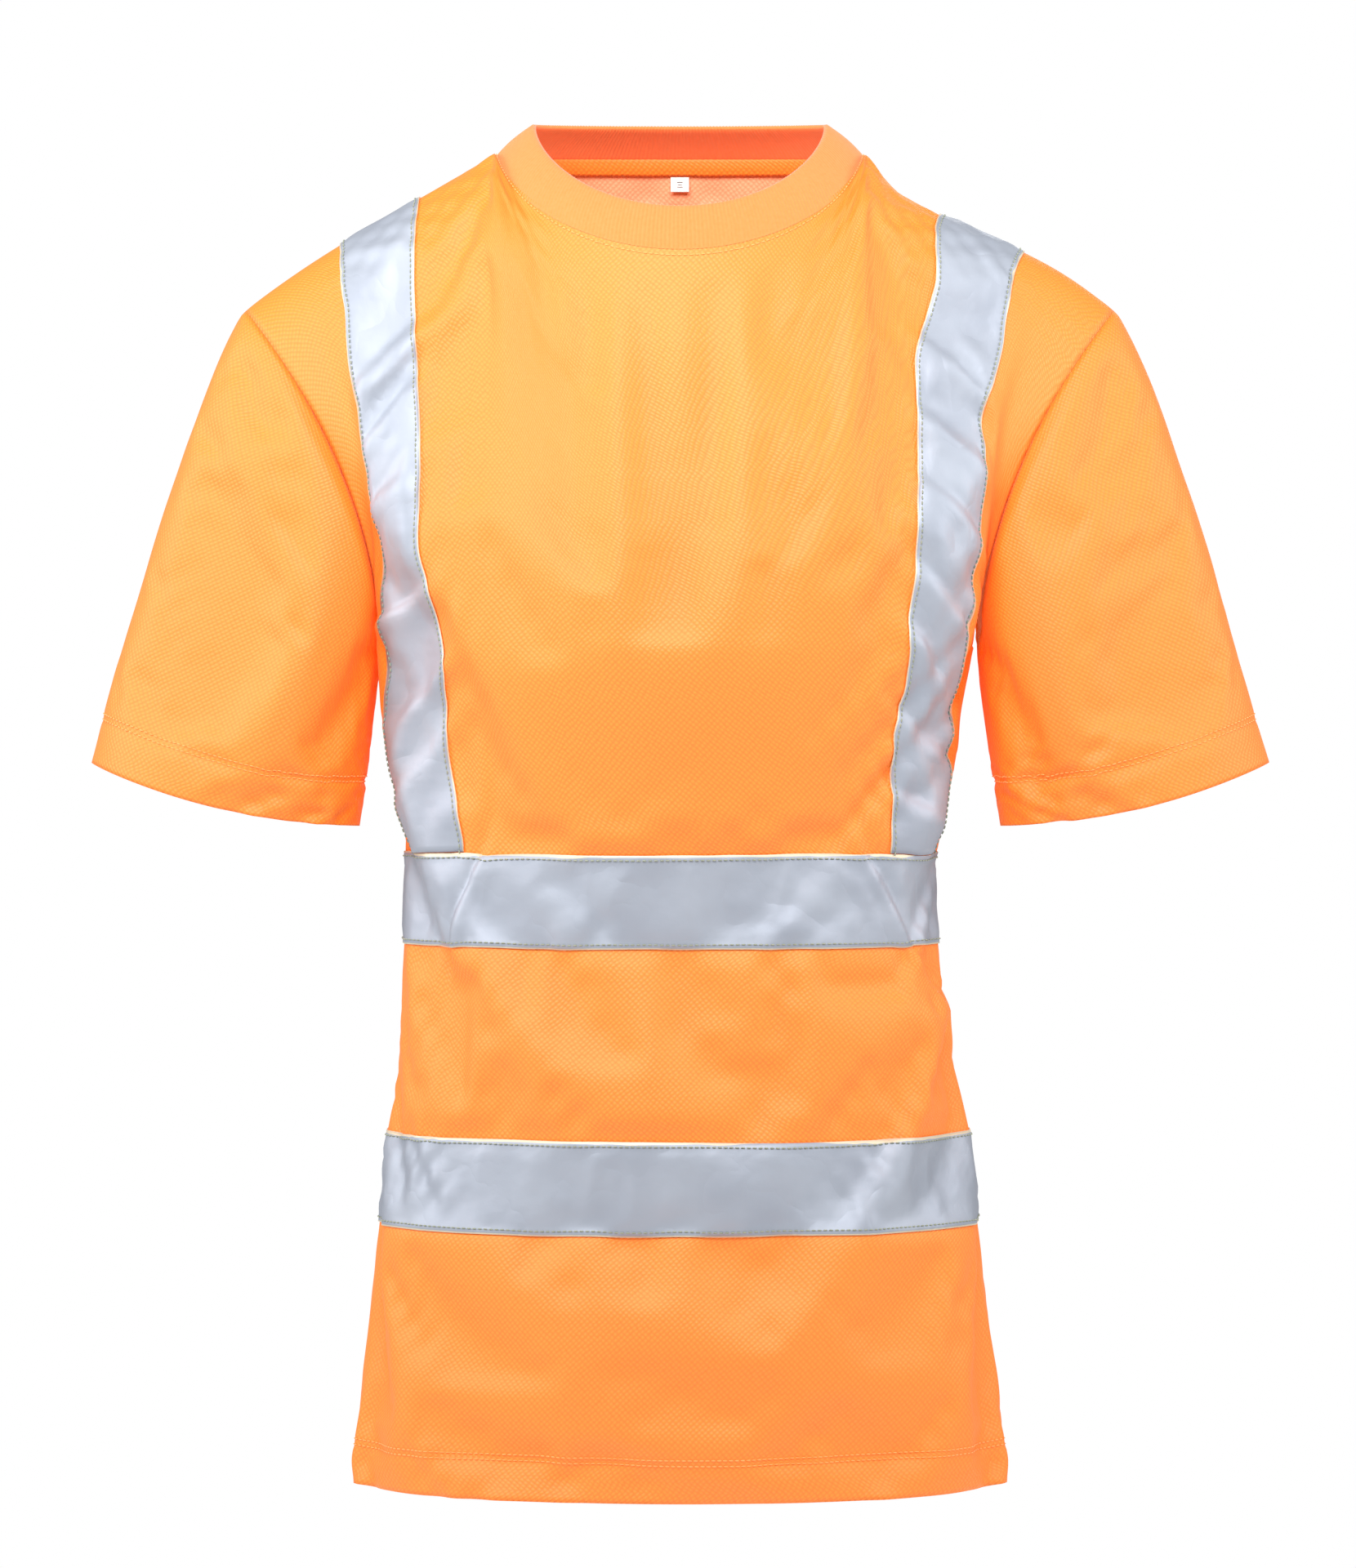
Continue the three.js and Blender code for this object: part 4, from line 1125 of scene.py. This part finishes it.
# %% Stitch tree
def stitch_tree():
    tree = bpy.data.node_groups.new("lockstitch along a line", "GeometryNodeTree")
    tree.interface.new_socket("Line", in_out="INPUT", socket_type="NodeSocketGeometry")
    for name in ("Pitch", "Stitch length", "Thread radius"):
        tree.interface.new_socket(name, in_out="INPUT", socket_type="NodeSocketFloat")
    tree.interface.new_socket("Thread", in_out="INPUT", socket_type="NodeSocketMaterial")
    tree.interface.new_socket("Stitches", in_out="OUTPUT", socket_type="NodeSocketGeometry")

    given = node(tree, "NodeGroupInput", {})
    curve = node(tree, "GeometryNodeMeshToCurve", {"Mesh": given.outputs["Line"]})
    spacing = {"Curve": curve.outputs[0], "Length": given.outputs["Pitch"]}
    spaced = node(tree, "GeometryNodeResampleCurve", spacing, mode="LENGTH")
    half = node(tree, "ShaderNodeMath", {0: given.outputs["Stitch length"], 1: 0.5}, operation="MULTIPLY")
    radius = given.outputs["Thread radius"]
    size = node(tree, "ShaderNodeCombineXYZ", {"X": half.outputs[0], "Y": radius, "Z": radius})
    ball = node(tree, "GeometryNodeMeshUVSphere", {"Segments": 6, "Rings": 4, "Radius": 1.0})
    lying = node(tree, "GeometryNodeTransform", {"Geometry": ball.outputs[0], "Rotation": (0, np.pi / 2, 0)})
    thread = node(tree, "GeometryNodeTransform", {"Geometry": lying.outputs[0], "Scale": size.outputs[0]})
    ahead = node(tree, "GeometryNodeInputTangent", {})
    normal = node(tree, "GeometryNodeInputNamedAttribute", {"Name": "cloth_normal"}, data_type="FLOAT_VECTOR")
    along = node(tree, "FunctionNodeAlignRotationToVector", {"Vector": ahead.outputs[0]}, axis="X")
    standing = node(
        tree,
        "FunctionNodeAlignRotationToVector",
        {"Rotation": along.outputs[0], "Vector": normal.outputs[0]},
        axis="Z",
        pivot_axis="X",
    )
    placed = node(
        tree,
        "GeometryNodeInstanceOnPoints",
        {"Points": spaced.outputs[0], "Instance": thread.outputs[0], "Rotation": standing.outputs[0]},
    )
    real = node(tree, "GeometryNodeRealizeInstances", {"Geometry": placed.outputs[0]})
    thread_finish = given.outputs["Thread"]
    painted = node(tree, "GeometryNodeSetMaterial", {"Geometry": real.outputs[0], "Material": thread_finish})
    node(tree, "NodeGroupOutput", {0: painted.outputs[0]})
    return tree


stitching = stitch_tree()
socket_of = {item.name: item.identifier for item in stitching.interface.items_tree if item.in_out == "INPUT"}
print("stitch tree inputs:", sorted(socket_of))

# %% [markdown]
# The tapes are sewn down by a row of grey-green thread just inside each edge, and the hem and
# collar by orange thread, the hem in two rows. A line is read off the draped cloth place by place,
# so that the thread lies in the folds.

# %% Stitches along lines
def stitches(name, lines, thread, pitch=3.0, length=2.3, radius=0.42):
    """One piece of stitches along several lines of (places, normals) in millimetres."""
    places = np.concatenate([line[0] for line in lines])
    normals = np.concatenate([line[1] for line in lines])
    edges, first = [], 0
    for line, _ in lines:
        edges += [(i, i + 1) for i in range(first, first + len(line) - 1)]
        first += len(line)
    piece = mesh_in_scene(name, places, edges, [])
    standing = piece.data.attributes.new("cloth_normal", "FLOAT_VECTOR", "POINT")
    standing.data.foreach_set("vector", normals.astype(np.float32).ravel())
    modifier = piece.modifiers.new("stitches", "NODES")
    modifier.node_group = stitching
    for socket, value in (
        ("Pitch", pitch / 1000),
        ("Stitch length", length / 1000),
        ("Thread radius", radius / 1000),
        ("Thread", thread),
    ):
        modifier[socket_of[socket]] = value
    settle(piece)
    piece.data.shade_smooth()
    return piece


def round_line(drop, lift):
    """A closed line round the body at one height."""
    s = np.linspace(-0.995, 0.995, 260)
    front, back = on_panel(FRONT, s, level(drop), lift), on_panel(BACK, -s, level(drop), lift)
    return [np.concatenate([front[k], back[k], front[k][:1]]) for k in (0, 1)]


def brace_line(side, across, lift):
    path, places = brace_paths[side]
    share = across / TAPE_WIDTH * BRACE_COLUMNS
    low = int(share)
    found = []
    for (face, v), s in zip(path, places):
        found.append(on_panel(face, lerp(s[low], s[low + 1], share - low), v, lift))
    return [np.array([place for place, _ in found]), np.array([normal for _, normal in found])]


made_stitches = {}
ON_TAPE, ON_CLOTH = TAPE_LIFT + 0.35, 0.25  # how far a thread lies above the cloth
HEM_RADIUS, NECK_RADIUS = 0.36, 0.4
ROW_GAP, NECK_INSET = 3, 5.5  # between the two rows of a hem, and from the neckline to its stitches
for height, drop in BANDS:
    for edge, inset in (("top", STITCH_INSET), ("bottom", TAPE_WIDTH - STITCH_INSET)):
        name = f"{height}_band_{edge}"
        line = round_line(drop + inset, ON_TAPE)
        made_stitches[name + "_thread"] = stitches(name + "_stitches", [line], grey_thread)
for side, word in SIDES:
    for edge, across in (("inner", STITCH_INSET), ("outer", TAPE_WIDTH - STITCH_INSET)):
        name = f"{word}_brace_{edge}"
        line = brace_line(side, across, ON_TAPE)
        made_stitches[name + "_thread"] = stitches(name + "_stitches", [line], grey_thread)
hem_lines = [round_line(BODY_LENGTH - HEM_STITCH_RISE - gap, ON_CLOTH) for gap in (0, ROW_GAP)]
made_stitches["hem_thread"] = stitches("hem_stitches", hem_lines, orange_thread, radius=HEM_RADIUS)
neck_lines = []
around = np.linspace(-np.pi / 2, np.pi / 2, 160)
for face in (FRONT, BACK):
    neck_lines.append(below_neck(face, around * 0.99, NECK_INSET, 0.3))
made_stitches["neck_topstitch"] = stitches("neck_stitches", neck_lines, orange_thread, radius=NECK_RADIUS)
print("stitched lines:", len(made_stitches))

# %% [markdown]
# A sleeve's hem has two rows as well. The seams are overlocked inside, where one run of stitches
# stands for the overlock's threads: underarm and armhole on the sleeve's own cloth, side and
# shoulder on the front panel's inside face.

# %% Sleeve hem, underarm, armhole, shoulder and side seams
def sleeve_line(side, rise):
    rows = sleeves[side]
    lengths = run_length(rows, 0)
    places, normals = [], []
    for j in range(SLEEVE_COLUMNS):
        row = np.interp(rise, lengths[:, j], np.arange(len(rows)))
        i = int(row)
        places.append(lerp(rows[i, j], rows[i + 1, j], row - i))
        normals.append(sleeve_normals[side][i, j])
    places, normals = np.array(places + places[:1]), np.array(normals + normals[:1])
    return [places + normals * ON_CLOTH, normals]


INSIDE_LIFT = -CLOTH - 0.5


def overlock(thread_name, piece_name, line):
    made_stitches[thread_name] = stitches(piece_name, [line], orange_thread)


for side, word in SIDES:
    cloth, out = sleeves[side], sleeve_normals[side]
    hem = [sleeve_line(side, SLEEVE_STITCH_RISE + gap) for gap in (0, ROW_GAP)]
    made_stitches[word + "_sleeve_hem_thread"] = stitches(
        word + "_sleeve_hem_stitches", hem, orange_thread, radius=HEM_RADIUS
    )
    under = [cloth[4:-4, 0] + out[4:-4, 0] * INSIDE_LIFT, out[4:-4, 0]]
    overlock(word + "_underarm_thread", word + "_underarm_overlock", under)
    ring = cloth[-3] + out[-3] * INSIDE_LIFT
    armhole_line = [np.concatenate([row, row[:1]]) for row in (ring, out[-3])]
    overlock(word + "_armhole_thread", word + "_armhole_overlock", armhole_line)
    side_line = on_panel(FRONT, side * 0.985, np.linspace(0.02, 0.96, 150), INSIDE_LIFT)
    overlock(word + "_side_seam_thread", word + "_side_seam_overlock", side_line)
    across = side * np.linspace(NECK_SHARE + 0.04, 0.95, 60)
    shoulder_line = on_panel(FRONT, across, 1.985, INSIDE_LIFT)
    overlock(word + "_shoulder_seam_thread", word + "_shoulder_overlock", shoulder_line)
print("stitched lines:", len(made_stitches))

# %% [markdown]
# The labels are satin ribbon with folded ends. The size label carries a woven mark of three short
# bars instead of a letter, so that it names no size of any maker. The care label hangs from the
# side seam inside and is blank.

# %% Labels
def ribbon(name, node_name, columns, rows, bow, wall):
    """A ribbon that fills the frame's own box for it, with a slight bow."""
    low, high = (np.array(corner) * 1000 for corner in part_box(node_name))
    x, z = np.meshgrid(np.linspace(low[0], high[0], columns), np.linspace(low[2], high[2], rows))
    middle = (low[1] + high[1]) / 2
    lean = bow * np.sin(np.pi * (x - low[0]) / (high[0] - low[0]))
    return cloth_piece(name, xyz(x, middle - wall / 2 - lean, z), [label_satin], wall=wall), (low, high)


BAR_LENGTHS, BAR_GAP, BAR_LIFT = (2.6, 1.8, 2.6), 1.3, 0.3
size_label, (label_low, label_high) = ribbon("size_label_ribbon", "size_label", 21, 17, 0.0, 0.4)
care_label, _ = ribbon("care_label_ribbon", "care_label", 29, 41, 0.8, 0.35)
bars = []
middle_z = (label_low[2] + label_high[2]) / 2
for k, wide in enumerate(BAR_LENGTHS):
    z = middle_z + (k - 1) * BAR_GAP
    x = np.linspace(-wide / 2, wide / 2, 9)
    y = np.full(9, (label_low[1] + label_high[1]) / 2 - BAR_LIFT)
    bars.append([xyz(x, y, z), np.tile([0.0, -1.0, 0.0], (9, 1))])
size_mark = stitches("size_label_mark", bars, label_mark, pitch=0.5, length=0.7, radius=0.22)
print("labels:", size_label.name, care_label.name)

# %% [markdown]
# The frame's plain solid that each piece stands for is hidden. The torso's pieces hang from an
# empty for the torso, and each label from one of its own; a sleeve, its hem thread and its underarm
# thread only have their places baked into their meshes.


def on_sleeve(piece):
    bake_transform(piece)


torso_pieces = {
    "front_panel": (front_panel, "orange_knit"),
    "back_panel": (back_panel, "orange_knit"),
    "neck_rib": (rib, "orange_rib"),
    "back_neck_tape": (neck_tape, "orange_knit"),
    "right_brace": (braces[RIGHT], "reflective_tape"),
    "left_brace": (braces[LEFT], "reflective_tape"),
}
torso_pieces |= {name: (piece, "reflective_tape") for name, piece in bands.items()}
for name, piece in made_stitches.items():
    grey = "band" in name or "brace" in name
    torso_pieces[name] = (piece, "grey_thread" if grey else "orange_thread")
for side, word in SIDES:
    on_sleeve(sleeve_pieces[side])
    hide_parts(word + "_sleeve")
    for part in ("_sleeve_hem_thread", "_underarm_thread"):
        piece, slot_name = torso_pieces.pop(word + part)
        on_sleeve(piece)
        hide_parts(word + part)
for name, (piece, slot_name) in torso_pieces.items():
    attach(piece, "torso")
    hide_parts(name)
for piece, name in ((size_label, "size_label"), (care_label, "care_label")):
    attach(piece, name)
    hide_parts(name)
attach(size_mark, "size_label")
print("pieces on the torso:", len(torso_pieces))

# %% [markdown]

# %% Cloth pieces
print("cloth pieces made")

# %% [markdown]
# The floor is a plain pale sheet well below the hem, so that no shadow of it reaches the shirt. It
# glows a little, which keeps it close to the white behind it where the lamps fall away.

# %% Floor
FLOOR_DROP, FLOOR_REACH, FLOOR_GLOW = 0.5, 3, 0.4  # metres below the hem, metres each way
floor_paint = finish_with(
    new_finish("matt white studio paint, rolled"),
    Base_Color=white,
    Roughness=0.95,
    Emission_Color=white,
    Emission_Strength=FLOOR_GLOW,
)
low_z = cad_box[0][2] - FLOOR_DROP
floor_corners = [(x * FLOOR_REACH, y * FLOOR_REACH, low_z) for x, y in ((-1, -1), (1, -1), (1, 1), (-1, 1))]
floor = mesh_in_scene("floor", 1000 * np.array(floor_corners), [], [(0, 1, 2, 3)])
floor.data.materials.append(floor_paint)
